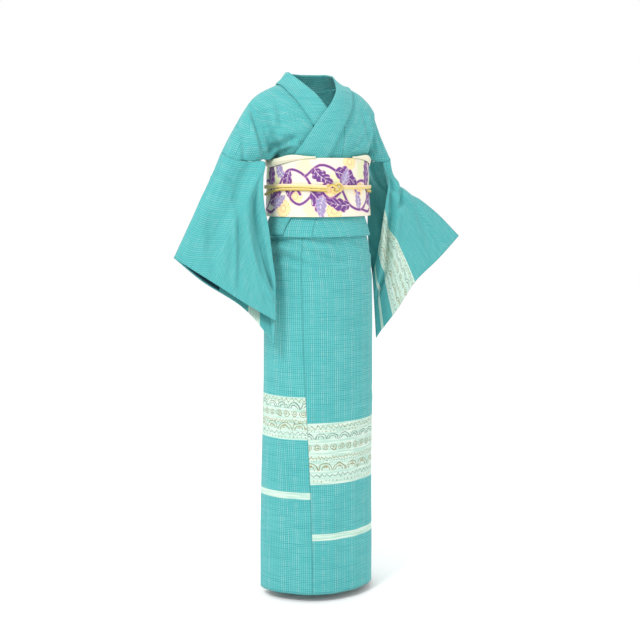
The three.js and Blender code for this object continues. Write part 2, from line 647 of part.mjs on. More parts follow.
/** A closed rod about a path of {center, up, out, high, thick} stations. */
function rod(stations, sides, closed = false) {
  const points = [];
  for (const station of stations) {
    for (let k = 0; k < sides; k += 1) {
      const angle = (2 * Math.PI * k) / sides;
      points.push(station.center.clone()
        .addScaledVector(station.up, (station.high / 2) * Math.sin(angle))
        .addScaledVector(station.out, (station.thick / 2) * Math.cos(angle)));
    }
  }
  const faces = [];
  const count = stations.length;
  for (let i = 0; i < (closed ? count : count - 1); i += 1) {
    for (let k = 0; k < sides; k += 1) {
      const next = (k + 1) % sides;
      const [a, b] = [i * sides + k, i * sides + next];
      const [c, d] = [((i + 1) % count) * sides + next, ((i + 1) % count) * sides + k];
      faces.push(a, b, c, a, c, d);
    }
  }
  if (!closed) {
    for (let k = 1; k < sides - 1; k += 1) {
      faces.push(0, k + 1, k);
      faces.push((count - 1) * sides, (count - 1) * sides + k, (count - 1) * sides + k + 1);
    }
  }
  return solid(points, faces);
}

/** A station of a band that runs round the body at one turn. */
function bandStation({ turn, z, offset, high, thick }) {
  const center = around(turn, z, offset);
  const out = around(turn, z, offset + 1).sub(center).normalize();
  return { center, out, up: vec(0, 0, 1), high, thick };
}

/** The scarf rolled along the obi's rim, tucked in at the front's centre. */
function obiage() {
  const [start, end] = [-24, -340];
  return rod(steps(start, end, 46).map((turn) => {
    const fromEnd = Math.min(start - turn, turn - end);
    const high = mix(OBIAGE_LOW, OBIAGE_HIGH, smooth(fromEnd / 36));
    const z = rimZ(turn) + SEAM_GAP + high / 2;
    return bandStation({ turn, z, offset: OBI_OFFSET + 3, high, thick: OBIAGE_THICK });
  }), 8);
}

const lapUnder = (turn) => OBI_LAP * smooth((((turn % 360) + 360) % 360 - 126) / 10)
  * smooth((220 - ((turn % 360) + 360) % 360) / 10);
const cordOffset = (turn) => OBI_OFFSET + OBI_CLOTH / 2 + SEAM_GAP + CORD_THICK / 2 + lapUnder(turn);

/** The cord's main run and its end beside it rise a little on the wearer's right. */
const cordRise = (turn) => 4 * smooth((turn - 250) / 60) * smooth((KNOT_TURN + 360 - turn) / 40);

/** The cord's main run goes right round, from one side of the knot to the other. */
function cordBand() {
  return rod(steps(KNOT_TURN + 9, KNOT_TURN + 351, 54).map((turn) => {
    const z = CORD_Z + cordRise(turn);
    return bandStation({ turn, z, offset: cordOffset(turn), high: CORD_HIGH, thick: CORD_THICK });
  }), 8);
}

/** A cord end comes from the knot, lies along the band and is tucked down at the side. */
function cordEnd(side) {
  const [start, end] = side < 0 ? [-9, -100] : [50, 96];
  return rod(steps(start, end, 16).map((turn) => {
    const f = (turn - start) / (end - start);
    const along = cordRise(turn + KNOT_TURN + 360) - mix(8.6, 18, smooth(2.2 * f - 1.2));
    const drop = side < 0 ? along : mix(-9.5, -13, f);
    return bandStation({
      turn: turn + KNOT_TURN,
      z: CORD_Z + drop,
      offset: cordOffset(turn),
      high: CORD_HIGH * 0.7,
      thick: CORD_THICK,
    });
  }), 8);
}

/** The knot: a loop of the cord round its own run at the front's centre. */
function cordKnot() {
  const middle = around(KNOT_TURN, CORD_Z - 1, cordOffset(KNOT_TURN) + CORD_THICK + 1);
  const across = around(KNOT_TURN + 1, CORD_Z, 0).sub(around(KNOT_TURN, CORD_Z, 0)).normalize();
  const out = vec(across.y, -across.x, 0);
  const up = vec(0, 0, 1);
  const ring = range(20).slice(0, -1).map((f) => {
    const angle = 2 * Math.PI * f;
    const radial = across.clone().multiplyScalar(KNOT_WIDE * Math.cos(angle))
      .addScaledVector(up, KNOT_HIGH * Math.sin(angle));
    return {
      center: middle.clone().add(radial),
      out,
      up: radial.clone().normalize(),
      high: KNOT_CORD,
      thick: KNOT_CORD,
    };
  });
  return rod(ring, 8, true);
}

// ---- the kimono ---------------------------------------------------------------------------
const teal = new THREE.MeshStandardMaterial({ color: 0x52b3b0, roughness: 0.85, metalness: 0 });
const navy = new THREE.MeshStandardMaterial({ color: 0x0b3a44, roughness: 0.7, metalness: 0 });
const brocade = new THREE.MeshStandardMaterial({ color: 0xeee5d6, roughness: 0.7, metalness: 0 });
const cream = new THREE.MeshStandardMaterial({ color: 0xece4c4, roughness: 0.75, metalness: 0 });
const straw = new THREE.MeshStandardMaterial({ color: 0xd9c27a, roughness: 0.7, metalness: 0 });

const group = new THREE.Group();
function add(name, geometry, material) {
  const mesh = new THREE.Mesh(geometry, material);
  mesh.name = name;
  group.add(mesh);
}

for (const [side, label] of [[-1, 'right'], [1, 'left']]) {
  add(`${label}_front`, front(side), teal);
  add(`${label}_back`, back(side), teal);
  add(`${label}_okumi`, okumi(side), teal);
  add(`${label}_sleeve`, sleeve(side), teal);
  add(`${label}_cuff_lining`, cuffLining(side), navy);
  add(`obijime_end_${label}`, cordEnd(side), straw);
}
add('collar', collar(), teal);
add('obi', obi(), brocade);
add('obiage', obiage(), cream);
add('obijime', cordBand(), straw);
add('obijime_knot', cordKnot(), straw);

export default group;
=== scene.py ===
"""A woman's kimono as it is worn, in one frame with its CAD part: every piece of cloth is a thin
shell on its solid's form, with its creases, its weave and its bands. Tables are in millimetres."""
import math

import bpy
import numpy as np
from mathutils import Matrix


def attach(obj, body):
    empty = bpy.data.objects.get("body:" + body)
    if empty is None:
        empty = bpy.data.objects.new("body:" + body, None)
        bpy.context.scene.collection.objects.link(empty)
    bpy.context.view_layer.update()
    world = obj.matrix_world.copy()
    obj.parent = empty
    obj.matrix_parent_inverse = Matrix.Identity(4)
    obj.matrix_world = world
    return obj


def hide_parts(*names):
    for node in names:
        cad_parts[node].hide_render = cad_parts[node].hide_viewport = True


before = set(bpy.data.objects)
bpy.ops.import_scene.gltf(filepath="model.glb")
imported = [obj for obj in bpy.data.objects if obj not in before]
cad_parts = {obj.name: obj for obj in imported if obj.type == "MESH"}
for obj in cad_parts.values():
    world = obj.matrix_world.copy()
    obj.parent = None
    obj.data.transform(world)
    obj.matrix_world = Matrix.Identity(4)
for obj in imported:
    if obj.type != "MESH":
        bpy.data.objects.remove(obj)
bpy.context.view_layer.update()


def rows_of(columns, *rows):
    """A table's rows as dicts: the columns' names, then each row's values in that order."""
    return [dict(zip(columns.split(), row)) for row in rows]


# ---- driving dimensions: the part's own, but with narrower gaps between panels ----
MM = 0.001
CLOTH = 1.2                 # thickness shown
COLLAR_CLOTH = 2.4
OBI_CLOTH = 3.0
# thickness of the dark navy cuff sheet, which is lining and painted shade
LINING_AND_SHADE_CLOTH = 0.6
SEAM_GAP = 0.3
FOLD_PITCH = 4.5            # from one layer of the waist fold to the next
TIGHT_PITCH = 2.5           # the same beside the right side seam of the back
RIM_DIP = 22                # how much lower the obi's rim is at the sides
OVERLAP = 8                 # how far the left front stands outside the right one
HEM_Z = -1285
OBI_TOP_Z = -196
WAIST_FOLD_TOP_Z = -290
WAIST_FOLD_BOTTOM_Z = -391
SIDE_SEAM = 70              # degrees from the front, as all turns
OKUMI_EDGE = 92
OBI_BOTTOM_Z = -345
OBI_RIM_Z = -204
OBI_OFFSET = 25.4           # middle of the obi's wall, outside the body's section
OBI_LAP = 4.2               # how far the obi's outer end stands off the turn below it
OBIAGE_HIGH = 17
OBIAGE_LOW = 4
OBIAGE_THICK = 6
CORD_Z = -274
CORD_HIGH = 9
CORD_THICK = 5
KNOT_TURN = -3
COLLAR_LIFT = 4.4
COLLAR_ROLL = 3
COLLAR_TUCK = 0.035         # how far the front goes in under the collar, as a part of line
ARMHOLE_END = 0.62          # how far down from the ridge the sleeve is sewn on
ARMHOLE_GAP = 0.5
UNDER_TUCK = 4.5
OKUMI_TUCK = 0.28
RIDGE_GAP = 0.0004          # front and back part this far down from the shoulder's ridge
NECK_LINE = 0.28            # the neck's side, as a line of CHEST
OKUMI_LINE_AT_OBI = 0.07
BODY_RADIUS = 130
CHEST_REACH = 260           # about one unit of line

# Half width and half depth of the body's section, by height.
SECTIONS = rows_of(
    "at width depth",
    (HEM_Z, 142, 116), (-1000, 141, 116), (-700, 141, 116), (-520, 139, 115), (-475, 137, 113),
    (-430, 133, 109), (-400, 126, 103), (-370, 118, 96), (-345, 110, 88), (-300, 106, 83),
    (OBI_TOP_Z, 104, 82),
)
# Lines of cloth from the shoulder down to the obi, from the right sleeve's seam (-1) to the left one's.
CHEST = rows_of(
    "at top high low turn",
    (-1, (-253, 0, -192), (-264, -58, -206), (-185, -50, -228), -88),
    (-0.85, (-221, 8, -140), (-228, -56, -150), (-168, -66, -200), -84),
    (-0.7, (-184, 19, -87), (-190, -44, -96), (-144, -72, -168), -74),
    (-0.5, (-148, 31, -51), (-150, -36, -58), (-122, -88, -146), -56),
    (-0.28, (-94, 40, -25), (-94, -28, -28), (-82, -104, -130), -35),
    (0, (0, -22, -20), (0, -70, -50), (0, -114, -132), 0),
    (0.28, (82, 38, -30), (84, -28, -32), (78, -104, -130), 35),
    (0.5, (120, 32, -50), (124, -34, -58), (116, -90, -146), 56),
    (0.7, (144, 23, -80), (156, -38, -90), (136, -72, -168), 72),
    (0.85, (161, 8, -135), (170, -46, -146), (152, -64, -200), 82),
    (1, (185, -2, -192), (198, -56, -206), (166, -50, -228), 88),
)
BACK = rows_of(
    "at top high low turn",
    (-1, (-253, 0, -192), (-262, 50, -206), (-185, 58, -228), -92),
    (-0.85, (-221, 8, -140), (-228, 64, -150), (-168, 80, -200), -98),
    (-0.7, (-184, 19, -87), (-190, 80, -98), (-146, 90, -168), -108),
    (-0.5, (-148, 31, -51), (-150, 96, -62), (-124, 102, -146), -124),
    (-0.28, (-94, 40, -25), (-94, 108, -36), (-82, 112, -130), -145),
    (-0.2, (-76, 80, -30), (-70, 113, -52), (-60, 115, -133), -155),
    (-0.12, (-43, 104, -36), (-42, 121, -66), (-36, 117, -137), -165),
    (0, (0, 113, -37), (0, 127, -80), (0, 118, -140), -180),
    (0.12, (41, 104, -36), (40, 120, -66), (34, 117, -137), -195),
    (0.2, (68, 80, -30), (64, 112, -53), (58, 115, -133), -205),
    (0.28, (82, 38, -30), (84, 106, -40), (78, 112, -130), -215),
    (0.5, (120, 32, -50), (124, 92, -62), (116, 102, -146), -236),
    (0.7, (144, 23, -80), (156, 76, -92), (136, 90, -168), -252),
    (0.85, (161, 8, -135), (170, 58, -148), (152, 80, -200), -262),
    (1, (185, -2, -192), (198, 46, -206), (168, 58, -228), -268),
)
RIDGE = {
    -1: [row for row in CHEST if row["at"] <= -NECK_LINE],
    1: [row for row in CHEST if row["at"] >= NECK_LINE],
}


# ---- small tools ----
def mix(a, b, t):
    return a + (b - a) * t


def smooth(t):
    t = np.clip(t, 0, 1)
    return t * t * (3 - 2 * t)


def hermite(start, leave, end, arrive, t):
    """A cubic from start to end with its slopes at both, at t from 0 to 1."""
    return ((2 * t**3 - 3 * t**2 + 1) * start + (t**3 - 2 * t**2 + t) * leave
            + (3 * t**2 - 2 * t**3) * end + (t**3 - t**2) * arrive)


def unit(vectors):
    return vectors / np.maximum(np.linalg.norm(vectors, axis=-1, keepdims=True), 1e-9)


def read(rows, column, at):
    """Smooth values of one column of a table, at places along its `at` column."""
    rows = sorted(rows, key=lambda row: row["at"])
    x = np.array([row["at"] for row in rows], float)
    y = np.array([row[column] for row in rows], float).reshape(len(rows), -1)
    after = np.minimum(np.arange(len(x)) + 1, len(x) - 1)
    before = np.maximum(np.arange(len(x)) - 1, 0)
    slope = (y[after] - y[before]) / (x[after] - x[before])[:, None]
    at = np.clip(np.asarray(at, float), x[0], x[-1])
    i = np.clip(np.searchsorted(x, at) - 1, 0, len(x) - 2)
    span = (x[i + 1] - x[i])[..., None]
    t = (at - x[i])[..., None] / span
    value = hermite(y[i], slope[i] * span, y[i + 1], slope[i + 1] * span, t)
    return value if y.shape[1] > 1 else value[..., 0]


def around(turn, z, offset):
    """Points of the body's section: `turn` in degrees from the front towards the wearer's left."""
    turn, z, offset = np.broadcast_arrays(turn, z, offset)
    angle = np.radians(turn)
    width = read(SECTIONS, "width", z) + offset
    depth = read(SECTIONS, "depth", z) + offset
    return np.stack([width * np.sin(angle), -depth * np.cos(angle), z.astype(float)], -1)


def drape(table, line, down):
    """Points between the shoulder (down = 0) and the obi (down = 1) on a table's surface."""
    line, down = np.broadcast_arrays(np.asarray(line, float), np.asarray(down, float))
    ridge = np.where(line[..., None] > 0, read(RIDGE[1], "top", line), read(RIDGE[-1], "top", line))
    top = np.where(np.abs(line)[..., None] < NECK_LINE, read(table, "top", line), ridge)
    end = around(read(table, "turn", line), OBI_TOP_Z, 2 * FOLD_PITCH)
    d = down[..., None]
    return ((1 - d)**3 * top + 3 * (1 - d)**2 * d * read(table, "high", line)
            + 3 * (1 - d) * d**2 * read(table, "low", line) + d**3 * end)


def drape_normal(table, line, down):
    """The direction out of a table's surface."""
    step = 0.01
    line, down = np.broadcast_arrays(np.asarray(line, float), np.asarray(down, float))
    across = (drape(table, np.minimum(line + step, 1), down)
              - drape(table, np.maximum(line - step, -1), down))
    along = (drape(table, line, np.minimum(down + step, 1))
             - drape(table, line, np.maximum(down - step, 0)))
    normal = unit(np.cross(across, along))
    return normal if table is BACK else -normal


# ---- folds of the upper body ----
# Troughs (depth > 0) and ridges (depth < 0) along lines on the chest and the back.
CHEST_FOLDS = rows_of(
    "side from to width depth",
    (-1, (-0.6, 0.06), (-0.79, 1.05), 0.08, 16),
    (-1, (-0.4, 0.8), (-0.62, 0.95), 0.09, 8),
    (1, (0.66, 0.3), (0.8, 1.05), 0.09, 12),
)
BACK_FOLDS = rows_of(
    "side from to width depth",
    (-1, (-0.62, 0.1), (-0.8, 1.0), 0.07, 14),
    (1, (0.62, 0.15), (0.8, 1.0), 0.07, 14),
)


def fold_depth(folds, line, down):
    """How deep the folds of one list are at places on a surface."""
    depth = np.zeros(np.broadcast(line, down).shape)
    for fold in folds:
        run_line = fold["to"][0] - fold["from"][0]
        run_down = fold["to"][1] - fold["from"][1]
        off_line = line - fold["from"][0]
        off_down = down - fold["from"][1]
        t = np.clip((off_line * run_line + off_down * run_down) / (run_line**2 + run_down**2), 0, 1)
        gap = np.hypot(off_line - t * run_line, off_down - t * run_down) / fold["width"]
        depth += fold["depth"] * np.exp(-gap**2) * smooth(t * 4) * smooth((1 - down) * 12)
    return depth


def cloth(table, side, line, down, out=0.0):
    """One side's cloth of the chest or back, `out` mm outside its middle surface."""
    folds = [fold for fold in (BACK_FOLDS if table is BACK else CHEST_FOLDS) if fold["side"] == side]
    reach = out - fold_depth(folds, line, down)
    return drape(table, line, down) + drape_normal(table, line, down) * reach[..., None]


def overlap_at_chest(line, down):
    """How far the left front stands outside the right one: nothing at the shoulder and the arm."""
    return OVERLAP * smooth((0.85 - line) / 0.4) * smooth(down / 0.2)


def overlap_at(turn):
    return OVERLAP * smooth((SIDE_SEAM - turn) / 30)


# ---- collar line ----
# Where the collar's seam and its free edge cross the chest, by height.
OVER_COLLAR = rows_of(
    "at seam edge",
    (-50, 77, 17), (-88, 53, -13), (-130, 20, -50), (-165, 0, -76), (-196, -15, -92),
)
UNDER_COLLAR = rows_of(
    "at seam edge",
    (-50, -87, -31), (-88, -69, -12), (-130, -49, 14), (-165, -27, 40), (-196, -4, 60),
)
# Round the neck, from its side to the nape.
NECK = {
    1: rows_of(
        "at seam edge",
        (0, (82, 38, -26), (54, 30, 0)),
        (0.35, (72, 82, -34), (51, 66, 6)),
        (0.7, (42, 108, -41), (32, 90, 7)),
        (1, (0, 117, -43), (-4, 98, 7)),
    ),
    -1: rows_of(
        "at seam edge",
        (0, (-94, 40, -21), (-65, 30, 6)),
        (0.35, (-80, 82, -33), (-58, 66, 8)),
        (0.7, (-44, 108, -41), (-36, 90, 8)),
        (1, (0, 117, -43), (-4, 98, 7)),
    ),
}


def find_on_chest(x, z):
    """The place (line, down) on the chest that lies at a given x and z."""
    line = x / 230
    down = (-20 - z) / 176
    for _ in range(30):
        here = drape(CHEST, line, down)
        to_line = (drape(CHEST, line + 0.01, down) - here) / 0.01
        to_down = (drape(CHEST, line, down + 0.01) - here) / 0.01
        dx, dz = x - here[0], z - here[2]
        det = to_line[0] * to_down[2] - to_line[2] * to_down[0]
        line += (dx * to_down[2] - dz * to_down[0]) / det
        down = float(np.clip(down + (dz * to_line[0] - dx * to_line[2]) / det, 0, 1))
    return float(line), down


def collar_places(table, column, side):
    """The rows of one collar table as places on the chest, from the shoulder to the obi."""
    places = [(NECK_LINE * side, 0.0)] + [find_on_chest(row[column], row["at"]) for row in table]
    return [{"at": down, "line": line} for line, down in places]


SEAM_PLACES = {
    1: collar_places(OVER_COLLAR, "seam", 1),
    -1: collar_places(UNDER_COLLAR, "seam", -1),
}
OKUMI_POINT_DOWN = find_on_chest(22, -128)[1]


def own_seam(side, down):
    return side * read(SEAM_PLACES[side], "line", down)


def okumi_line(side, down):
    """The seam between front and okumi leaves the collar and drops to the obi."""
    below = smooth((down - OKUMI_POINT_DOWN) / (1 - OKUMI_POINT_DOWN))
    return mix(own_seam(side, OKUMI_POINT_DOWN), OKUMI_LINE_AT_OBI, below)


# ---- the way a panel runs below the chest ----
def level(layer, *heights):
    """Rows on one layer, at each pair of heights' steps: (height, step) up to the next height."""
    rows = []
    for (z, step), (to, _) in zip(heights, heights[1:]):
        count = max(1, round(abs(to - z) / step))
        rows += [(mix(z, to, k / count), layer) for k in range(count)]
    return rows + [(heights[-1][0], layer)]


def half_turn(from_layer, z, up):
    """Half a turn of the cloth from one layer to the next, at the top or bottom of the fold."""
    reach = (FOLD_PITCH / 2) * (1 if up else -1)
    angles = np.radians([30, 60, 90, 120, 150])
    return [(z + reach * math.sin(a), from_layer - 0.5 + 0.5 * math.cos(a)) for a in angles]


SKIRT_ROWS = [(-290, 14), (-385, 4), (-520, 9), (HEM_Z, 9)]
FOLDED_PATH = [
    *level(2, (-212, 12), (-336, 3), (WAIST_FOLD_BOTTOM_Z, 3)),
    *half_turn(2, WAIST_FOLD_BOTTOM_Z, False),
    *level(1, (WAIST_FOLD_BOTTOM_Z, 12), (WAIST_FOLD_TOP_Z, 12)),
    *half_turn(1, WAIST_FOLD_TOP_Z, True),
    *level(0, *SKIRT_ROWS),
]
STRAIGHT_PATH = [(-210, 2), (-235, 1), *level(0, (-262, 14), *SKIRT_ROWS)]


# Turns of the okumi's seam, at the obi, the waist fold's bottom, its top and the hem.
OKUMI_AT_OBI, OKUMI_AT_FOLD, OKUMI_IN_FOLD, OKUMI_AT_HEM = (5, -27, -38, -26.5)


def okumi_seam_turn(z, layer):
    """Turn of the okumi's seam with the front, on the wearer's right for the left front."""
    upper = mix(OKUMI_AT_OBI, OKUMI_AT_FOLD,
                smooth((OBI_TOP_Z - z) / (OBI_TOP_Z - WAIST_FOLD_BOTTOM_Z)))
    middle = mix(OKUMI_AT_FOLD, OKUMI_IN_FOLD,
                 (z - WAIST_FOLD_BOTTOM_Z) / (WAIST_FOLD_TOP_Z - WAIST_FOLD_BOTTOM_Z))
    lower = mix(OKUMI_IN_FOLD, OKUMI_AT_HEM,
                smooth((WAIST_FOLD_BOTTOM_Z - z) / (WAIST_FOLD_BOTTOM_Z - HEM_Z)))
    return np.where(layer > 1.5, upper, np.where(layer > 0.5, middle, lower))


def layer_offset(z, layer, turn, side, in_front):
    """How far a panel below the chest lies outside the body's section."""
    if not in_front:
        tight = mix(TIGHT_PITCH, FOLD_PITCH, smooth((-turn - 96) / 16))
        return layer * (tight if side < 0 else FOLD_PITCH)
    if side < 0:
        return layer * FOLD_PITCH - np.where(layer < 1, UNDER_TUCK, 0) * smooth((turn - 40) / 30)
    low = smooth((-600 - z) / 600)
    below_fold = np.where(layer < 0.5, smooth((WAIST_FOLD_BOTTOM_Z - z) / 60), 0)
    edge = mix(-3.5, 10, low) * below_fold * smooth((-turn - 50) / 40)
    pitch = mix(3.8, FOLD_PITCH, smooth((turn + 80) / 20))
    return layer * pitch + overlap_at(turn) + edge


# ---- creases ----
# Soft troughs with a ridge beside them, as lines between two places (x, z) on the front or back.
FRONT_CREASES = rows_of(
    "from to width depth bend",
    ((-161, -390), (-91, -419), 8, 7.2, -4), ((-151, -430), (-81, -458), 9, 6.3),
    ((-85, -424), (17, -456), 9, 6.8, 3), ((-60, -398), (34, -418), 8, 5.1),
    ((-150, -197), (-97, -158), 7, 7.7, -5), ((-213, -108), (-216, -214), 5, 4.8),
    ((-177, -60), (-160, -204), 8, 8.4, 6), ((-140, -90), (-120, -180), 9, -4.2, 4),
    ((-236, -300), (-242, -504), 7, 6.4, -4), ((-262, -320), (-276, -470), 12, -4.5, -4),
    ((-290, -232), (-226, -282), 6, 4.8, -3), ((-276, -206), (-214, -244), 6, 4.2),
    ((-258, -190), (-206, -212), 5, 3.6), ((199, -293), (195, -470), 9, -6.4),
    ((182, -260), (178, -440), 8, 7.0, 4), ((223, -256), (192, -348), 8, 7.7, -6),
    ((124, -148), (103, -206), 5, 7.0), ((150, -90), (158, -190), 7, 5.6, 4),
    ((36, -404), (128, -438), 6, 2.8), ((8, -500), (116, -482), 8, 2.2),
    ((-128, -520), (-20, -566), 9, 2.5, 8), ((-30, -640), (88, -600), 11, 2.1),
    ((-120, -700), (-10, -690), 12, 1.7, -6), ((20, -820), (124, -780), 12, 1.7),
    ((-130, -1090), (-60, -1060), 10, 1.5), ((60, -900), (72, -1270), 14, 2.2),
    ((-104, -860), (-112, -1275), 12, 2.2), ((4, -1000), (12, -1280), 15, 1.8),
    ((-126, -352), (-40, -366), 4, 1.8), ((-14, -356), (92, -372), 5, 2.0, 3),
    ((-122, -70), (-134, -150), 8, 3.6, -4), ((-108, -150), (-60, -184), 6, 4.2),
    ((92, -96), (112, -180), 7, 3.9, 4), ((44, -186), (96, -150), 6, 3.4),
    ((122, -92), (140, -176), 6, 4.5), ((-290, -300), (-300, -450), 12, 3.6, 7),
    ((-196, -300), (-178, -540), 9, 4.5, 5), ((186, -300), (180, -520), 8, 4.2),
    ((262, -290), (300, -420), 12, 3.4, 8),
)
BACK_CREASES = rows_of(
    "from to width depth bend",
    ((-118, -96), (-98, -186), 8, 4.2, 5), ((112, -100), (92, -188), 8, 4.2, -5),
    ((-70, -60), (20, -96), 9, 2.5), ((-100, -408), (10, -426), 6, 3.1),
    ((20, -452), (118, -420), 7, 3.1, 4), ((-116, -492), (-16, -520), 9, 2.5),
    ((-20, -600), (104, -640), 12, 2.2), ((-60, -800), (-66, -1270), 15, 2.5),
    ((58, -740), (70, -1260), 16, 2.4), ((-90, -352), (60, -372), 5, 2.0),
    ((-240, -250), (-262, -450), 11, 5.6, 6), ((-200, -280), (-196, -520), 10, 4.5),
    ((206, -260), (214, -470), 10, 5.3, -6), ((262, -300), (286, -430), 11, 3.9),
)
CREASES = {"front": FRONT_CREASES, "back": BACK_CREASES}
RIDGE_SHARE = 0.55          # height of the ridge beside a trough, of the trough's depth
RIDGE_ASIDE = 1.7           # its distance from the trough, in the crease's widths


def crease_depth(points, facing):
    """How far creases and the cloth's slight unevenness push points in, in mm."""
    x, z = points[..., 0], points[..., 2]
    depth = 0.7 * np.sin(x / 31 + 1.3 * np.sin(z / 83)) * np.sin(z / 127 + x / 210)
    depth += 0.35 * np.sin(x / 13 + z / 71) * np.sin(z / 57 - x / 47)
    for crease in CREASES[facing]:
        (x0, z0), (x1, z1) = crease["from"], crease["to"]
        length = math.hypot(x1 - x0, z1 - z0)
        along = ((x - x0) * (x1 - x0) + (z - z0) * (z1 - z0)) / length**2
        bend = crease.get("bend", 0) * np.sin(math.pi * np.clip(along, 0, 1))
        aside = ((x - x0) * (z1 - z0) - (z - z0) * (x1 - x0)) / length - bend
        past = np.maximum(np.maximum(-along, along - 1), 0) * length
        gap = aside / crease["width"]
        fade = 0.35 + 0.65 * np.sin(math.pi * np.clip(0.12 + 0.76 * along, 0, 1))
        fade = np.exp(-(past / (2 * crease["width"]))**2) * fade
        shape = np.exp(-gap**2) - RIDGE_SHARE * np.exp(-(gap - RIDGE_ASIDE)**2)
        depth += crease["depth"] * fade * shape
    return depth


def creased(grid, facing, keep):
    """A grid of points pushed in along its normals by the creases, where keep is 1."""
    down = np.gradient(grid, axis=0)
    across = np.gradient(grid, axis=1)
    normal = unit(np.cross(across, down))
    outward = np.sum((normal * grid)[-2, grid.shape[1] // 2, :2])
    depth = crease_depth(grid, facing) * keep
    return grid - normal * np.sign(outward) * depth[..., None]


# ---- cloth as meshes ----
def lengths(grid, axis):
    """Running length along one axis of a grid of points, in metres."""
    steps = np.linalg.norm(np.diff(grid, axis=axis), axis=-1)
    start = np.zeros_like(np.take(steps, [0], axis=axis))
    return np.concatenate([start, np.cumsum(steps, axis=axis)], axis=axis) * MM


def quads(rows, columns, ring):
    """The corners (rows, columns) of the quads between a grid's points."""
    i, j = np.meshgrid(np.arange(rows - 1), np.arange(columns if ring else columns - 1), indexing="ij")
    return [(i, j), (i, j + 1), (i + 1, j + 1), (i + 1, j)]


def mesh_piece(name, grid, faces, uv, material):
    """An object of one mesh; uv holds the cloth's coordinates of every face's corners in turn."""
    mesh = bpy.data.meshes.new(name)
    mesh.from_pydata((grid.reshape(-1, 3) * MM).tolist(), [], faces)
    mesh.uv_layers.new(name="cloth").data.foreach_set("uv", uv.ravel())
    mesh.shade_smooth()
    mesh.materials.append(material)
    piece = bpy.data.objects.new(name, mesh)
    bpy.context.collection.objects.link(piece)
    return piece


def on_part(piece, node):
    """Ties a piece to the part: it rides on it, and stands in for one node, whose own mesh is hidden.
    """
    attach(piece, "root")
    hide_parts(node)


def shell(node, grid, uv, thickness, material, ring=False):
    """The cloth of a node through grid[row][column], solidified about its middle."""
    rows, columns = grid.shape[:2]
    corners = quads(rows, columns, ring)
    faces = np.stack([r * columns + c % columns for r, c in corners], -1).reshape(-1, 4)
    corner_uv = np.stack([uv[r, c] for r, c in corners], -2)
    piece = mesh_piece(f"{node}_cloth", grid, faces.tolist(), corner_uv, material)
    solid = piece.modifiers.new("cloth", "SOLIDIFY")
    solid.thickness = thickness * MM
    solid.offset = 0
    on_part(piece, node)
    return piece


# ---- panels ----
SEAM_TURN = math.degrees(SEAM_GAP / 2 / BODY_RADIUS)
# Rows from the shoulder to the obi, and columns.
FRONT_GRID = (56, 64)
BACK_GRID = (48, 60)
OKUMI_GRID = (24, 48)


def panel_grid(table, size, start, side, lines, turns):
    """One panel's points: rows on the chest or back from a start, then the rows of its path below."""
    in_front = table is CHEST
    over = in_front and side > 0
    path = STRAIGHT_PATH if in_front and side < 0 else FOLDED_PATH
    chest_rows, columns = size
    f = np.linspace(0, 1, columns)
    rows = []
    for down in np.linspace(start, 1, chest_rows):
        line = mix(*lines(down), f)
        out = overlap_at_chest(line, down) if over else np.zeros(columns)
        rows.append(cloth(table, side, line, np.full(columns, down), out))
    top = mix(*[read(table, "turn", line) for line in lines(1.0)], f)
    for z, layer in path:
        settled = smooth((OBI_TOP_Z - z) / 120) if layer > 1.5 else 1
        turn = mix(top, mix(*turns(z, layer), f), settled)
        rows.append(around(turn, z, layer_offset(z, layer, turn, side, in_front)))
    grid = np.array(rows)
    return creased(grid, "front" if in_front else "back", visible(grid, path, chest_rows))


def visible(grid, path, chest_rows):
    """1 where creases may show, 0 on the hidden turns of the waist fold and under the obi."""
    keep = np.ones(grid.shape[:2])
    for k, (z, layer) in enumerate(path):
        hidden = z > OBI_BOTTOM_Z + 6 or 0.02 < layer < 1.98 or (layer < 0.5 and z > -384)
        keep[chest_rows + k] = 0 if hidden else smooth((WAIST_FOLD_BOTTOM_Z - z) / 12 + (layer > 1)
                                                       * (z - WAIST_FOLD_BOTTOM_Z) / 20)
    keep[:chest_rows] = smooth(np.linspace(0, 14, chest_rows))[:, None]
    keep[chest_rows - 3:chest_rows] *= 0.3
    return keep


def front_grid(side):
    def lines(down):
        inner = own_seam(side, down) - COLLAR_TUCK
        if down >= OKUMI_POINT_DOWN:
            inner = np.maximum(okumi_line(side, down) + SEAM_GAP / CHEST_REACH, inner)
        return side * inner, side

    def turns(z, layer):
        return side * (okumi_seam_turn(z, layer) + SEAM_TURN), side * (SIDE_SEAM - SEAM_TURN)

    return panel_grid(CHEST, FRONT_GRID, RIDGE_GAP, side, lines, turns)


def back_grid(side):
    if side > 0:
        ends = (-180 - SEAM_TURN, SIDE_SEAM + SEAM_TURN - 360)
    else:
        ends = (-180 + SEAM_TURN, -SIDE_SEAM - SEAM_TURN)
    return panel_grid(BACK, BACK_GRID, RIDGE_GAP, side, lambda down: (0, side), lambda z, layer: ends)


def okumi_grid(side):
    def lines(down):
        tuck = OKUMI_TUCK * smooth((down - OKUMI_POINT_DOWN) / (1 - OKUMI_POINT_DOWN))
        seam = okumi_line(side, down) - SEAM_GAP / CHEST_REACH
        return side * (own_seam(side, down) - tuck), side * seam

    def turns(z, layer):
        return -side * OKUMI_EDGE, side * (okumi_seam_turn(z, layer) - SEAM_TURN)

    return panel_grid(CHEST, OKUMI_GRID, OKUMI_POINT_DOWN + 0.02, side, lines, turns)


def panel_uv(grid):
    """Cloth coordinates in metres: across from the side edge, and down with the hem at 1.285."""
    down = lengths(grid, 0)
    down += -HEM_Z * MM - down[-1:]
    return np.stack([-lengths(grid[:, ::-1], 1)[:, ::-1], down], -1)


# ---- collar ----
COLLAR_FRACTIONS = np.linspace(0, 1, 13)


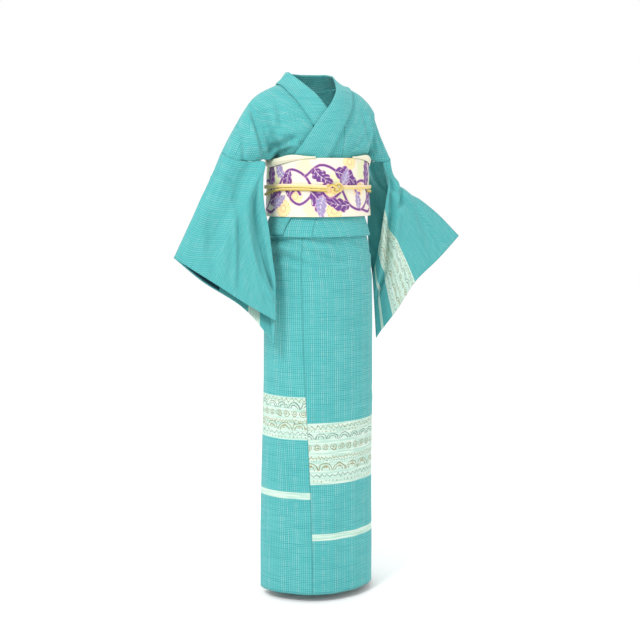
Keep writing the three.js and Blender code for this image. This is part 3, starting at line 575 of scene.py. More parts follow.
def neck_row(side, f):
    seam = read(NECK[side], "seam", f)
    edge = read(NECK[side], "edge", f)
    row = mix(seam, edge, COLLAR_FRACTIONS[:, None])
    row[:, 1] += COLLAR_ROLL * np.sin(math.pi * COLLAR_FRACTIONS) * f
    return row


def on_chest(side, line, down):
    out = COLLAR_LIFT + (overlap_at_chest(line, down) if side > 0 else 0)
    normal = drape_normal(CHEST, line, down)
    return drape(CHEST, line, down) + normal * (out * np.ones(np.shape(line)))[..., None]


def collar_front(side):
    """One half of the collar's rows, each from seam to free edge, from the shoulder down."""
    table = OVER_COLLAR if side > 0 else UNDER_COLLAR
    places = {}
    for column in ("seam", "edge"):
        found = [find_on_chest(row[column], row["at"]) for row in table]
        places[column] = [{"at": row["at"], "line": f[0], "down": f[1]} for row, f in zip(table, found)]
    rows = []
    for z in np.linspace(-50, OBI_TOP_Z, 40):
        line, down = [mix(*[read(places[edge], axis, z) for edge in ("seam", "edge")], COLLAR_FRACTIONS)
                      for axis in ("line", "down")]
        rows.append(on_chest(side, line, down))
    return collar_shoulder(side, places["seam"][0], rows) + rows


def collar_shoulder(side, first_seam, rows):
    """Rows over the shoulder: the seam stays on the panel, the rest bends on from the neck."""
    before, start, end, after = neck_row(side, 0.35), neck_row(side, 0.0), rows[0], rows[7]
    built = []
    for f in np.linspace(0, 1, 14)[1:-1]:
        row = hermite(start, (end - before) / 2, end, (after - start) / 2, f)
        seam = on_chest(side, np.array(mix(NECK_LINE * side, first_seam["line"], f)),
                        np.array(first_seam["down"] * f))
        built.append(mix(row, seam, ((1 - COLLAR_FRACTIONS)**2)[:, None]))
    return built


COLLAR_SEAM_TURNS = (-7.6, -59)     # from the obi's top to the waist fold
COLLAR_EDGE_TURNS = (-53, -94)


def collar_under_obi():
    """The over collar goes on under the obi and ends in the waist fold."""
    rows = []
    for z in np.linspace(-212, -388, 36):
        f = smooth((OBI_TOP_Z - z) / (OBI_TOP_Z - WAIST_FOLD_BOTTOM_Z))
        turn = mix(mix(*COLLAR_SEAM_TURNS, f), mix(*COLLAR_EDGE_TURNS, f), COLLAR_FRACTIONS)
        rows.append(around(turn, z, 2 * FOLD_PITCH + OVERLAP + COLLAR_LIFT))
    return rows


def collar_grid():
    necks = {side: [neck_row(side, f) for f in np.linspace(0, 1, 28)] for side in (-1, 1)}
    right = collar_front(-1)[::-1] + necks[-1]
    left = necks[1][::-1][1:] + collar_front(1)
    return np.array(right + left + collar_under_obi())


# ---- sleeves ----
# Corners of each sleeve: the cuff's top, and per layer the rest of its inner and outer edge.
SLEEVES = {
    -1: {
        "cuff": [-388, -30, -438],
        "front": {
            "inner": [
                [-168, -60, -214], [-172, -61, -248], [-173, -61, -285], [-170, -61, -318],
                [-163, -68, -366], [-158, -82, -446], [-154, -88, -490],
            ],
            "outer": [[-292, -65, -504], [-226, -83, -550], [-157, -96, -592]],
        },
        "back": {
            "inner": [[-176, 60, -245], [-170, 52, -300], [-168, 20, -400], [-160, -50, -520]],
            "outer": [[-320, -30, -495], [-226, -46, -558], [-186, -78, -609], [-161, -90, -649]],
        },
        "elbow": [0, 0, 0],
    },
    1: {
        "cuff": [395, -30, -404],
        "front": {
            "inner": [[172, -52, -245], [166, -46, -320], [160, -30, -410], [157, 0, -500]],
            "outer": [[325, -44, -462], [254, -50, -517], [208, -40, -587], [162, -10, -661]],
        },
        "back": {
            "inner": [[176, 60, -245], [170, 56, -330], [166, 46, -410], [163, 12, -510]],
            "outer": [[322, -14, -470], [256, -18, -526], [212, -14, -594], [166, -2, -665]],
        },
        "elbow": [-14, 0, -26],
    },
}
SLEEVE_FOLDS = rows_of(
    "side layer from to width depth",
    (-1, "front", (0.1, 0.3), (0.36, 0.95), 0.07, 14),
    (-1, "front", (0.34, 0.3), (0.62, 0.95), 0.08, -9),
    (-1, "back", (0.2, 0.35), (0.5, 0.9), 0.08, 10),
    (1, "front", (0.12, 0.2), (0.4, 0.9), 0.07, 12),
    (1, "back", (0.2, 0.3), (0.5, 0.9), 0.08, 10),
)


def through(points, places):
    """Points of a smooth curve through points, at places from 0 to 1 of its length."""
    p = np.array(points, float)
    p = np.vstack([2 * p[0] - p[1], p, 2 * p[-1] - p[-2]])
    gaps = np.maximum(np.linalg.norm(np.diff(p, axis=0), axis=1)**0.5, 1e-4)
    dense = []
    for k in range(1, len(p) - 2):
        d0, d1, d2 = gaps[k - 1:k + 2]
        t1 = ((p[k] - p[k - 1]) / d0 - (p[k + 1] - p[k - 1]) / (d0 + d1) + (p[k + 1] - p[k]) / d1) * d1
        t2 = ((p[k + 1] - p[k]) / d1 - (p[k + 2] - p[k]) / (d1 + d2) + (p[k + 2] - p[k + 1]) / d2) * d1
        for t in np.linspace(0, 1, 40, endpoint=False):
            dense.append(hermite(p[k], t1, p[k + 1], t2, t))
    dense = np.array(dense + [p[-2]])
    run = np.concatenate([[0], np.cumsum(np.linalg.norm(np.diff(dense, axis=0), axis=1))])
    at = np.asarray(places) * run[-1]
    return np.stack([np.interp(at, run, dense[:, axis]) for axis in range(3)], -1)


SLEEVE_DROP = 0.49          # metres, from the arm down to the sleeve's bottom
SLEEVE_ROWS = 88
SLEEVE_COLUMNS = 76
ELBOW_PEAK = 12.2           # makes the arm's bend 1 at its highest
# A dark navy sheet just inside each cuff: the sleeve's lining, with painted shade for the dark inside
# of the opening.
LINING_AND_SHADE_INSIDE = 2.2
LINING_AND_SHADE_ALONG = (0.82, 0.992)
LINING_AND_SHADE_DOWN = (0.07, 0.42)


def sleeve_layer(side, layer, alongs, downs):
    """A sleeve's layer as points[along][down], from armhole to cuff and from arm to bottom."""
    table = CHEST if layer == "front" else BACK
    sleeve = SLEEVES[side]
    away = ARMHOLE_GAP * unit(np.array(sleeve["cuff"], float) - read(table, "top", side))
    edge = np.linspace(0, ARMHOLE_END, 7)
    sewn = cloth(table, side, np.full(7, float(side)), edge) + away
    inner = through([*sewn, *sleeve[layer]["inner"]], downs)
    outer = through([sleeve["cuff"], *sleeve[layer]["outer"]], downs)
    along = alongs[:, None]
    grid = mix(inner[None], outer[None], along[..., None])
    bend = ELBOW_PEAK * along * (1 - along)**4 * (1 - downs[None])**2
    grid = grid + np.array(sleeve["elbow"]) * bend[..., None]
    across = np.gradient(grid, axis=0)
    drop = np.gradient(grid, axis=1)
    normal = unit(np.cross(across, drop)) * (1 if (layer == "front") == (side < 0) else -1)
    folds = [f for f in SLEEVE_FOLDS if f["side"] == side and f["layer"] == layer]
    depth = fold_depth(folds, along, downs[None]) + crease_depth(grid, layer) * smooth(along * 8)
    return grid, normal, depth


def sleeve_layers(side, inside, alongs, downs):
    """Both layers of a sleeve as grids, `inside` mm within the cloth's middle."""
    sheets = []
    for layer in ("front", "back"):
        grid, normal, depth = sleeve_layer(side, layer, alongs, downs)
        sheets.append(grid - normal * (depth + inside)[..., None])
    return sheets


def sleeve_shell(side, label, material):
    alongs = np.linspace(0, 1, SLEEVE_COLUMNS)
    downs = np.linspace(0, 1, SLEEVE_ROWS)
    front, back = sleeve_layers(side, 0.0, alongs, downs)
    grid = np.concatenate([front, back[:, :0:-1]], axis=1)
    across = lengths(grid, 0)
    run = np.concatenate([downs, 2 - downs[:0:-1], [2]]) * SLEEVE_DROP
    uv = np.stack([np.concatenate([across, across[:, :1]], axis=1),
                   np.broadcast_to(run, (len(alongs), len(run)))], -1)
    piece = shell(f"{label}_sleeve", grid, uv, CLOTH, material, ring=True)


# The dark navy sheet inside a cuff: its lining, and painted shade for the shade within the cuff's
# opening.
def lining_and_shade_shell(side, label, material):
    alongs = np.linspace(*LINING_AND_SHADE_ALONG, 14)
    downs = np.linspace(*LINING_AND_SHADE_DOWN, 30)
    front, back = sleeve_layers(side, LINING_AND_SHADE_INSIDE, alongs, downs)
    grid = np.concatenate([front[:, ::-1], back], axis=1)
    uv = np.stack([lengths(grid, 0), lengths(grid, 1)], -1)
    piece = shell(f"{label}_cuff_lining", grid, uv, LINING_AND_SHADE_CLOTH, material)


# ---- materials ----
PIN_PITCH = 0.0050          # metres of cloth, as all lengths of the weave
PIN_WIDTH = 0.0016
THREAD_WIDTH = 0.0009       # pale threads between the pins
WEFT_PITCH = 0.0046
WEFT_WIDTH = 0.0013
RIB_PITCH = 0.0056          # thin stripes on the pale bands
RIB_WIDTH = 0.0008
BAND_EDGE = 0.0006
WIDE_BAND = 0.08            # bands over this height carry ornament
ORNAMENT_HEIGHT = 0.155     # height of the band that BAND_ROWS is written for
ORNAMENT_LINE = 0.0014
CURL_LINE = 0.28            # of a curl's winding
WANDER = 0.012              # how far the ornament strays
SWAY = 0.014


def colour(code):
    """Linear colour of a #rrggbb code."""
    parts = [int(code[k:k + 2], 16) / 255 for k in (1, 3, 5)]
    return (*[p / 12.92 if p <= 0.04045 else ((p + 0.055) / 1.055)**2.4 for p in parts], 1.0)


TEAL_LIGHT = colour("#6dc2bf")
TEAL_DEEP = colour("#51aeae")
PIN_PINK = colour("#c6d2cb")
PIN_DARK = colour("#2a8a8f")
MINT = colour("#aed0c1")
MINT_WHITE = colour("#d2e3d6")
MINT_GREY = colour("#a9cdc4")
ORNAMENT_COLOURS = [colour("#857a4c"), colour("#97803c"), colour("#6a8078")]


class Value:
    """A node's output; sums, differences, products and quotients of values add Math nodes."""

    def __init__(self, shader, socket):
        self.shader = shader
        self.socket = socket

    def __add__(self, other):
        return self.shader.math("ADD", self, other)

    def __sub__(self, other):
        return self.shader.math("SUBTRACT", self, other)

    def __rsub__(self, other):
        return self.shader.math("SUBTRACT", other, self)

    def __mul__(self, other):
        return self.shader.math("MULTIPLY", self, other)

    def __truediv__(self, other):
        return self.shader.math("DIVIDE", self, other)

    def __abs__(self):
        return self.shader.math("ABSOLUTE", self)


class Shader:
    """A material's nodes; each call adds a node and returns its value."""

    def __init__(self, name, roughness, sheen=0.0):
        self.material = bpy.data.materials.new(name)
        self.material.use_nodes = True
        self.tree = self.material.node_tree
        self.surface = self.tree.nodes["Principled BSDF"]
        self.surface.inputs["Roughness"].default_value = roughness
        self.surface.inputs["Sheen Weight"].default_value = sheen
        self.surface.inputs["Specular IOR Level"].default_value = 0.25

    def node(self, kind, inputs, output=0, **settings):
        """A node with its settings, then its inputs by name or number."""
        made = self.tree.nodes.new(kind)
        for key, value in settings.items():
            setattr(made, key, value)
        for key, value in inputs.items():
            self.feed(made.inputs[key], value)
        return Value(self, made.outputs[output])

    def feed(self, socket, value):
        if isinstance(value, Value):
            self.tree.links.new(value.socket, socket)
        else:
            socket.default_value = value

    def math(self, operation, *values):
        return self.node("ShaderNodeMath", dict(enumerate(values)), operation=operation)

    def mix(self, factor, a, b):
        return self.node("ShaderNodeMix", {"Factor": factor, 6: a, 7: b}, 2, data_type="RGBA")

    def step(self, value, low, high):
        """0 below low and 1 above high, soft between them."""
        inputs = {"Value": value, "From Min": low, "From Max": high}
        return self.node("ShaderNodeMapRange", inputs, interpolation_type="SMOOTHSTEP")

    def vector(self, x, y, z=0.0):
        return self.node("ShaderNodeCombineXYZ", {0: x, 1: y, 2: z})

    def noise(self, vector, scale, detail=2.0):
        return self.node("ShaderNodeTexNoise", {"Vector": vector, "Scale": scale, "Detail": detail})

    def random(self, value):
        return self.node("ShaderNodeTexWhiteNoise", {"W": value}, noise_dimensions="1D")

    def cloth_place(self):
        """The cloth's own coordinates in metres: across and down."""
        place = self.node("ShaderNodeUVMap", {}, uv_map="cloth")
        return [self.node("ShaderNodeSeparateXYZ", {0: place}, output) for output in (0, 1)]

    def bump(self, height, distance):
        inputs = {"Strength": 0.6, "Distance": distance, "Height": height}
        self.feed(self.surface.inputs["Normal"], self.node("ShaderNodeBump", inputs))

    def paint(self, value):
        self.feed(self.surface.inputs["Base Color"], value)
        return self.material


def stripe(s, place, pitch, width, seed=0.0):
    """(line, random): lines at each pitch with soft edges, and a random number for each line."""
    turns = place / pitch + seed
    off = abs(s.math("FRACT", turns) - 0.5)
    line = 1.0 - s.step(off, 0.5 * width / pitch, 0.9 * width / pitch)
    return line, s.random(s.math("FLOOR", turns))


def ornament_line(s, distance, width=ORNAMENT_LINE):
    """1 on a line where the distance is small."""
    return 1.0 - s.step(abs(distance), 0.5 * width, 1.1 * width)


def cell(s, place, pitch):
    """A place within repeated cells, from -pitch/2 to pitch/2."""
    return (s.math("FRACT", place / pitch) - 0.5) * pitch


def reach(s, across, up):
    """Distance from the middle of a cell."""
    return s.math("SQRT", across * across + up * up)


def zigzag(s, u, w, middle, height, pitch):
    rise = (abs(cell(s, u, pitch)) - pitch / 4) * (2 * height / pitch)
    return ornament_line(s, w - middle - rise)


def arches(s, u, w, foot, radius, pitch):
    up = foot - w
    away = reach(s, cell(s, u, pitch), up)
    lines = [ornament_line(s, away - radius * k) for k in (1.0, 0.6)]
    return s.step(up, -0.0004, 0.0004) * s.math("MAXIMUM", *lines)


def curls(s, u, w, middle, radius, pitch):
    across = cell(s, u, pitch)
    up = w - middle
    away = reach(s, across, up)
    turn = s.math("ARCTAN2", up, across) / (2 * math.pi)
    winding = s.math("FRACT", away / (0.5 * radius) - turn)
    line = ornament_line(s, winding - 0.5, CURL_LINE)
    return line * (1.0 - s.step(away, radius, 1.08 * radius))


def dots(s, u, w, middle, radius, pitch):
    away = reach(s, cell(s, u, pitch), w - middle)
    return 1.0 - s.step(away, radius, 1.5 * radius)


# Rows of ornament in a wide band: kind, distance below its top edge, size and pitch, in metres.
BAND_ROWS = [
    (zigzag, 0.010, 0.008, 0.013),
    (dots, 0.020, 0.0012, 0.009),
    (arches, 0.041, 0.014, 0.031),
    (curls, 0.060, 0.0085, 0.021),
    (zigzag, 0.087, 0.006, 0.009),
    (dots, 0.094, 0.0011, 0.007),
    (arches, 0.119, 0.017, 0.037),
    (curls, 0.108, 0.0045, 0.037),
    (zigzag, 0.132, 0.008, 0.014),
    (dots, 0.146, 0.0012, 0.010),
]


def weave(name, bands, shift, pale=0.42):
    """The kimono's cloth: a fine uneven check, with pale figured bands between given heights.

    `shift` moves the check across, and `pale` is how much its thin pale threads show.
    """
    s = Shader(name, 0.85, sheen=0.12)
    u, v = s.cloth_place()
    u = u + (2.0 + shift)
    slub = s.noise(s.vector(u * 16.0, v * 240.0), 1.0)
    patchy = s.noise(s.vector(u, v), 60.0)
    base = s.mix(s.noise(s.vector(u, v), 14.0, 3.0), TEAL_DEEP, TEAL_LIGHT)
    pin, _ = stripe(s, u, PIN_PITCH, PIN_WIDTH)
    base = s.mix(pin * 0.5, base, PIN_DARK)
    thread, fate = stripe(s, u, PIN_PITCH, THREAD_WIDTH, 0.42)
    shown = thread * (s.step(fate, 0.3, 0.8) * s.step(patchy, 0.3, 0.66))
    base = s.mix(shown * pale, base, PIN_PINK)
    weft, luck = stripe(s, v, WEFT_PITCH, WEFT_WIDTH, 0.3)
    weft = weft * (s.step(slub, 0.4, 0.62) * 0.42 + 0.3)
    base = s.mix(weft, base, PIN_DARK)
    heavy = s.step(luck, 0.72, 0.86) * s.step(slub, 0.46, 0.58)
    base = s.mix(heavy * weft * 0.8, base, PIN_DARK)
    for top, bottom in bands:
        base = band(s, base, u, v, top, bottom, slub)
    s.bump(slub * 0.5 + pin * 0.5, 0.0004)
    return s.paint(base)


def band(s, base, u, v, top, bottom, slub):
    """A pale band across the cloth; a wide one carries rows of ornament."""
    below = s.step(v, bottom - BAND_EDGE, bottom + BAND_EDGE)
    inside = s.step(v, top - BAND_EDGE, top + BAND_EDGE) * (1.0 - below)
    pale = s.mix(s.step(slub, 0.4, 0.65), MINT, MINT_WHITE)
    rib, _ = stripe(s, u, RIB_PITCH, RIB_WIDTH)
    pale = s.mix(rib * 0.3, pale, MINT_GREY)
    if bottom - top > WIDE_BAND:
        w = v - top + (s.noise(s.vector(u, v), 55.0) - 0.5) * WANDER
        u = u + (s.noise(s.vector(v, u, 3.0), 48.0) - 0.5) * SWAY
        stretch = (bottom - top) / ORNAMENT_HEIGHT
        for row, (kind, middle, size, pitch) in enumerate(BAND_ROWS):
            mark = kind(s, u, w, middle * stretch, size, pitch)
            pale = s.mix(mark * 0.85, pale, ORNAMENT_COLOURS[row % 3])
    return s.mix(inside, base, pale)


def plain(name, code, roughness, sheen, grain):
    """A soft cloth of one colour, a little uneven."""
    s = Shader(name, roughness, sheen)
    u, v = s.cloth_place()
    tone = s.noise(s.vector(u, v), grain, 3.0)
    s.bump(s.noise(s.vector(u, v), 900.0, 1.0), 0.0003)
    shade = tuple(part * 0.82 for part in colour(code)[:3]) + (1.0,)
    return s.paint(s.mix(tone, shade, colour(code)))


def painted(name, roughness, sheen):
    """A cloth whose woven design is its mesh's own colours."""
    s = Shader(name, roughness, sheen)
    u, v = s.cloth_place()
    s.bump(s.noise(s.vector(u, v * 3.0), 600.0), 0.0004)
    return s.paint(s.node("ShaderNodeVertexColor", {}, layer_name="design"))


# ---- the obi's woven design ----
# Scrolling stems, leaves and round flowers, repeated round the obi. Places are (s, z): mm along
# the obi from its front's centre and mm above its lower edge.
DESIGN_PERIOD = 300
DESIGN_TURN = 132           # degrees round the obi to one repeat
VEINS = 5.2                 # slanting veins along a leaf
STEMS = [
    [(-160, 70), (-122, 113), (-80, 97), (-64, 56), (-94, 30), (-120, 48), (-104, 66), (-92, 54)],
    [(-80, 97), (-42, 124), (0, 106), (12, 66), (-18, 44), (-40, 66), (-22, 84), (-10, 70)],
    [(12, 66), (36, 27), (76, 17), (108, 46), (94, 84), (62, 82), (58, 58), (72, 56)],
    [(76, 17), (118, 12), (144, 40), (140, 70)],
]
LEAVES = rows_of(
    "at angle long wide bend tone",
    ((-122, 112), -118, 60, 16, 0.008, "plum"),
    ((-66, 60), -38, 63, 20, -0.008, "plum"),
    ((-58, 116), -62, 54, 18, 0.009, "plum"),
    ((-6, 108), -8, 79, 22, -0.005, "plum"),
    ((34, 30), 196, 65, 18, -0.008, "plum"),
    ((104, 38), 4, 54, 18, 0.009, "plum"),
    ((100, 74), 62, 68, 21, 0.006, "plum"),
    ((-34, 50), -120, 52, 15, 0.008, "lilac"),
    ((-140, 98), 150, 46, 14, -0.009, "lilac"),
    ((62, 20), 68, 41, 12, 0.011, "lilac"),
    ((128, 20), 60, 46, 14, -0.008, "lilac"),
    ((14, 78), 48, 41, 12, 0.009, "lilac"),
)
FLOWERS = rows_of(
    "at radius",
    ((-106, 50), 20), ((-24, 66), 21), ((66, 66), 20), ((-140, 20), 22), ((36, 132), 20),
    ((-8, 14), 21),
)
PATCHES = [
    ((-84, 118), 20), ((-60, 20), 22), ((14, 40), 20), ((84, 112), 24), ((132, 92), 18), ((-8, 90), 16),
]
TONES = {"plum": colour("#6d3f86"), "lilac": colour("#9a90ba")}
GROUND = colour("#ebe5d2")
VEIN = colour("#f0dbe4")
PINK_EDGE = colour("#dda9c8")
PEACH = colour("#efa983")
PETAL = colour("#f5e2a8")
SEED = colour("#d9824a")
PATCH_GREEN = colour("#dfe5b4")


def blot(paint, mask, tone):
    """Lays a colour over the design where the mask is 1."""
    return paint + (np.array(tone) - paint) * np.clip(mask, 0, 1)[..., None]


def within(value, limit, soft=0.9):
    return smooth((limit - value) / soft + 0.5)


def offset_along(s, middle):
    """How far places along the obi are from the nearest repeat of a middle."""
    return (s - middle + DESIGN_PERIOD / 2) % DESIGN_PERIOD - DESIGN_PERIOD / 2


def nearest(s, z, path):
    """Distance from each place to a path of points, round the repeat."""
    best = np.full(s.shape, 1e9)
    for (s0, z0), (s1, z1) in zip(path, path[1:]):
        ds = offset_along(s, s0)
        dz = z - z0
        run = (s1 - s0, z1 - z0)
        t = np.clip((ds * run[0] + dz * run[1]) / (run[0]**2 + run[1]**2 + 1e-9), 0, 1)
        best = np.minimum(best, np.hypot(ds - t * run[0], dz - t * run[1]))
    return best


def lay_leaf(paint, s, z, leaf):
    ds = offset_along(s, leaf["at"][0])
    dz = z - leaf["at"][1]
    angle = math.radians(leaf["angle"])
    along = (ds * math.cos(angle) + dz * math.sin(angle)) / leaf["long"]
    aside = -ds * math.sin(angle) + dz * math.cos(angle) - leaf["bend"] * (along * leaf["long"])**2
    inside = np.clip(along, 0, 1)
    lobes = 0.72 + 0.28 * np.abs(np.sin(4 * math.pi * inside + 0.5))
    half = leaf["wide"] * np.sin(math.pi * inside**0.8)**0.8 * lobes * ((along > 0) & (along < 1))
    gap = np.abs(aside) - half
    paint = blot(paint, within(gap, 1.3) * (half > 0), PINK_EDGE)
    paint = blot(paint, within(gap, 0) * (half > 0.6), TONES[leaf["tone"]])
    rib = np.abs(aside) - 0.75 * (1 - 0.6 * inside)
    slant = np.abs((inside * VEINS - np.abs(aside) / leaf["long"] * VEINS * 0.9) % 1 - 0.5)
    slant = slant * leaf["long"] / VEINS
    vein = np.maximum(within(rib, 0), within(slant, 0.45) * (gap < -2.2))
    return blot(paint, vein * (gap < -0.4) * (half > 0.6), VEIN)


def lay_flower(paint, s, z, flower):
    ds = offset_along(s, flower["at"][0])
    dz = z - flower["at"][1]
    reach = np.hypot(ds, dz)
    turn = np.arctan2(dz, ds)
    radius = flower["radius"]
    edge = radius * (0.9 + 0.1 * np.abs(np.cos(5 * turn)))
    paint = blot(paint, within(reach, edge), PETAL)
    rays = within(np.abs(np.sin(7 * turn)) * reach, 1.3)
    rays = rays * (reach > 0.35 * radius) * (reach < 0.8 * radius)
    paint = blot(paint, rays, PEACH)
    paint = blot(paint, within(np.abs(reach - 0.36 * radius), 0.8), PEACH)
    ring = np.hypot(reach - 0.9 * radius, ((turn * 8 / math.pi) % 1 - 0.5) * radius * 0.9 * math.pi / 8)
    if radius > 20:
        return blot(paint, within(ring, 1.3), SEED)
    return blot(paint, within(ring, 1.1), PEACH)


def obi_design(s, z):
    """The obi's colours at places along and up it."""
    paint = np.broadcast_to(np.array(GROUND), (*s.shape, 4)).copy()
    for (s0, z0), radius in PATCHES:
        ds = offset_along(s, s0)
        ragged = np.hypot(ds, z - z0) + 3.5 * np.sin(ds / 5) * np.cos(z / 6)
        paint = blot(paint, 0.8 * within(ragged, radius, 8), PATCH_GREEN)
    for flower in FLOWERS:
        paint = lay_flower(paint, s, z, flower)
    for stem in STEMS:
        gap = nearest(s, z, through([(a, b, 0) for a, b in stem], np.linspace(0, 1, 60))[:, :2])
        paint = blot(paint, within(gap, 3.9), PINK_EDGE)
        paint = blot(paint, within(gap, 2.7), TONES["plum"])
    for leaf in LEAVES:
        paint = lay_leaf(paint, s, z, leaf)
    return paint


# ---- obi, its scarf and its cord ----
SCARF_TURNS = (-24, -340)
CORD_GAP = 0.7              # from the obi to the cord
CORD_ENDS = {-1: (-9, -100, 220), 1: (50, 96, 140)}     # first turn, last turn and stations
ROD_GIRTH = 22.0            # the cloth's coordinates count this much round a rod
BRAID_SIDES = 18
STRAW = colour("#e6d27e")
OLIVE = colour("#bfa94a")
CREAM = colour("#f1dfb4")
BRAID_PINK = colour("#e7b9a0")
# The knot's cord, seen from the front: mm across, up and out from the knot's middle.
KNOT_HIGH = 6.2
KNOT_THICK = 4.6
KNOT_PATH = [
    (-19, 2, -1), (-12, 6, 2), (-4, 4, 5), (4, -2, 6), (9, -7, 4), (14, -5, 2), (15, 2, 1), (12, 8, 1),
    (6, 9, 0), (1, 5, -1), (-4, -1, 0), (-8, -7, 1), (-3, -11, 3), (5, -9, 5), (10, -2, 5), (17, 1, 1),
]


def rim_z(turn):
    """Height of the obi's rim: highest at the front and the back."""
    return OBI_RIM_Z - RIM_DIP * np.sin(np.radians(turn))**4


def give_design(piece, colours):
    layer = piece.data.color_attributes.new("design", "FLOAT_COLOR", "POINT")
    layer.data.foreach_set("color", colours.reshape(-1, 4).astype(np.float32).ravel())


def obi_shell(material):
    turn, f = np.meshgrid(np.linspace(-215, 205, 540), np.linspace(0, 1, 84))
    z = mix(rim_z(turn), OBI_BOTTOM_Z, f)
    lap = OBI_LAP * smooth((turn - 130) / 12)
    pressed = 1.6 * np.exp(-((z - CORD_Z) / 9)**2) + 1.2 * (2 * f - 1)**6
    uneven = 0.8 * np.sin(np.radians(turn) * 5 + z / 40) * np.sin(z / 33 + np.radians(turn) * 2)
    grid = around(turn, z, OBI_OFFSET + lap - pressed + uneven)
    uv = np.stack([lengths(grid, 1), lengths(grid, 0)], -1)
    piece = shell("obi", grid, uv, OBI_CLOTH, material)
    give_design(piece, obi_design(turn * DESIGN_PERIOD / DESIGN_TURN, z - OBI_BOTTOM_Z))


def rod(node, suffix, path, high, thick, sides, material, relief):
    """A node's rod with an oval section along a path of (centres, ups, outs).

    relief(along, angle) adds mm to its radius.
    """
    centres, ups, outs = path
    count = len(centres)
    angle = np.linspace(0, 2 * math.pi, sides, endpoint=False)[None]
    run = np.concatenate([[0], np.cumsum(np.linalg.norm(np.diff(centres, axis=0), axis=1))])[:, None]
    extra = relief(run, angle)
    up_reach = (np.reshape(high, (-1, 1)) / 2 + extra) * np.sin(angle)
    out_reach = (np.reshape(thick, (-1, 1)) / 2 + extra) * np.cos(angle)
    grid = centres[:, None] + ups[:, None] * up_reach[..., None] + outs[:, None] * out_reach[..., None]
    faces = np.stack([r * sides + c % sides for r, c in quads(count, sides, True)], -1)
    faces = faces.reshape(-1, 4).tolist()
    faces += [list(range(sides))[::-1], list(range((count - 1) * sides, count * sides))]
    corners = np.concatenate(faces)
    uv = np.stack([run[corners // sides, 0], (corners % sides) / sides * ROD_GIRTH], -1) * MM
    piece = mesh_piece(f"{node}_{suffix}", grid, faces, uv, material)
    on_part(piece, node)
    return piece


def band_path(turns, z, offset):
    """A rod's path round the body."""
    centres = around(turns, z, offset)
    outs = unit(around(turns, z, offset + 1) - centres)
    return centres, np.broadcast_to([0.0, 0.0, 1.0], centres.shape), outs


def scarf(material):
    """The obiage, rolled along the obi's rim and tucked in at the front's centre."""
    start, end = SCARF_TURNS
    turns = np.linspace(start, end, 360)
    from_end = np.minimum(start - turns, turns - end)
    high = mix(OBIAGE_LOW, OBIAGE_HIGH, smooth(from_end / 36))

    def rolls(run, angle):
        grow = smooth(from_end / 30)[:, None]
        twist = 3 * angle + run / 46 + 0.7 * np.sin(run / 27)
        return grow * (0.75 * np.sin(twist) + 0.35 * np.sin(5 * angle - run / 19))

    path = band_path(turns, rim_z(turns) + SEAM_GAP + high / 2, OBI_OFFSET + 3)
    rod("obiage", "silk", path, high, OBIAGE_THICK, 28, material, rolls)


def lap_under(turn):
    turn = turn % 360
    return OBI_LAP * smooth((turn - 126) / 10) * smooth((220 - turn) / 10)


def cord_offset(turn):
    return OBI_OFFSET + OBI_CLOTH / 2 + CORD_GAP + CORD_THICK / 2 + lap_under(turn)


def cord_rise(turns):
    """The cord and its end beside it rise a little on the wearer's right."""
    return 4 * smooth((turns - 250) / 60) * smooth((KNOT_TURN + 360 - turns) / 40)


def plaits(run, angle):
    """A flat braid: two rows of slanting stitches with a groove between them."""
    groove = 0.9 * np.exp(-(np.sin(angle) / 0.3)**2)
    stitches = 0.28 * np.sin(2 * math.pi * (run / 3.1 + 0.6 * np.abs(np.sin(angle))))
    return stitches - groove


def braid(node, path, high, thick, upper, lower, material):
    """A cord whose strands have one colour above, one below, and a thin pink line between."""
    piece = rod(node, "braid", path, high, thick, BRAID_SIDES, material, plaits)
    angle = np.arange(len(piece.data.vertices)) % BRAID_SIDES / BRAID_SIDES * 2 * math.pi
    height = np.sin(angle)[:, None]
    tone = mix(np.array(lower), np.array(upper), smooth(height * 2 + 0.5))
    tone = mix(tone, np.array(BRAID_PINK), 0.6 * np.exp(-((height - 0.25) / 0.22)**2))
    give_design(piece, tone)


def cord_band(material):
    turns = np.linspace(KNOT_TURN + 9, KNOT_TURN + 351, 820)
    path = band_path(turns, CORD_Z + cord_rise(turns), cord_offset(turns))
    braid("obijime", path, CORD_HIGH, CORD_THICK, CREAM, STRAW, material)


def cord_end(side, label, material):
    """A cord end comes from the knot and is tucked down at the side."""
    start, end, stations = CORD_ENDS[side]
    turns = np.linspace(start, end, stations)
    f = (turns - start) / (end - start)
    turns = turns + KNOT_TURN
    drop = mix(-9.5, -13, f)
    if side < 0:
        drop = cord_rise(turns + 360) - mix(8.6, 18, smooth(2.2 * f - 1.2))
    path = band_path(turns, CORD_Z + drop, cord_offset(turns))
    braid(f"obijime_end_{label}", path, CORD_HIGH * 0.7, CORD_THICK, STRAW, OLIVE, material)


def cord_knot(material):
    middle = around(KNOT_TURN, CORD_Z - 1, cord_offset(KNOT_TURN) + CORD_THICK + 1)
    across = unit(around(KNOT_TURN + 1, CORD_Z, 0) - around(KNOT_TURN, CORD_Z, 0))
    out = np.array([across[1], -across[0], 0])
    run = through(KNOT_PATH, np.linspace(0, 1, 200))
    centres = middle + run[:, :1] * across + run[:, 1:2] * [0, 0, 1] + (run[:, 2:] - 2) * out
    tangent = unit(np.gradient(centres, axis=0))
    ups = unit(np.cross(tangent, np.broadcast_to(out, tangent.shape)))
    path = (centres, ups, np.cross(ups, tangent))
    braid("obijime_knot", path, KNOT_HIGH, KNOT_THICK, STRAW, OLIVE, material)


# ---- the kimono ----
FRONT_BANDS = [(0.848, 1.003), (1.129, 1.146)]
OKUMI_BANDS = [(0.783, 0.890), (1.023, 1.040)]
SLEEVE_BANDS = {-1: [(0.575, 0.640)], 1: [(0.250, 0.395), (0.446, 0.460)]}


def panel_piece(name, grid, material):
    piece = shell(name, grid, panel_uv(grid), CLOTH, material)


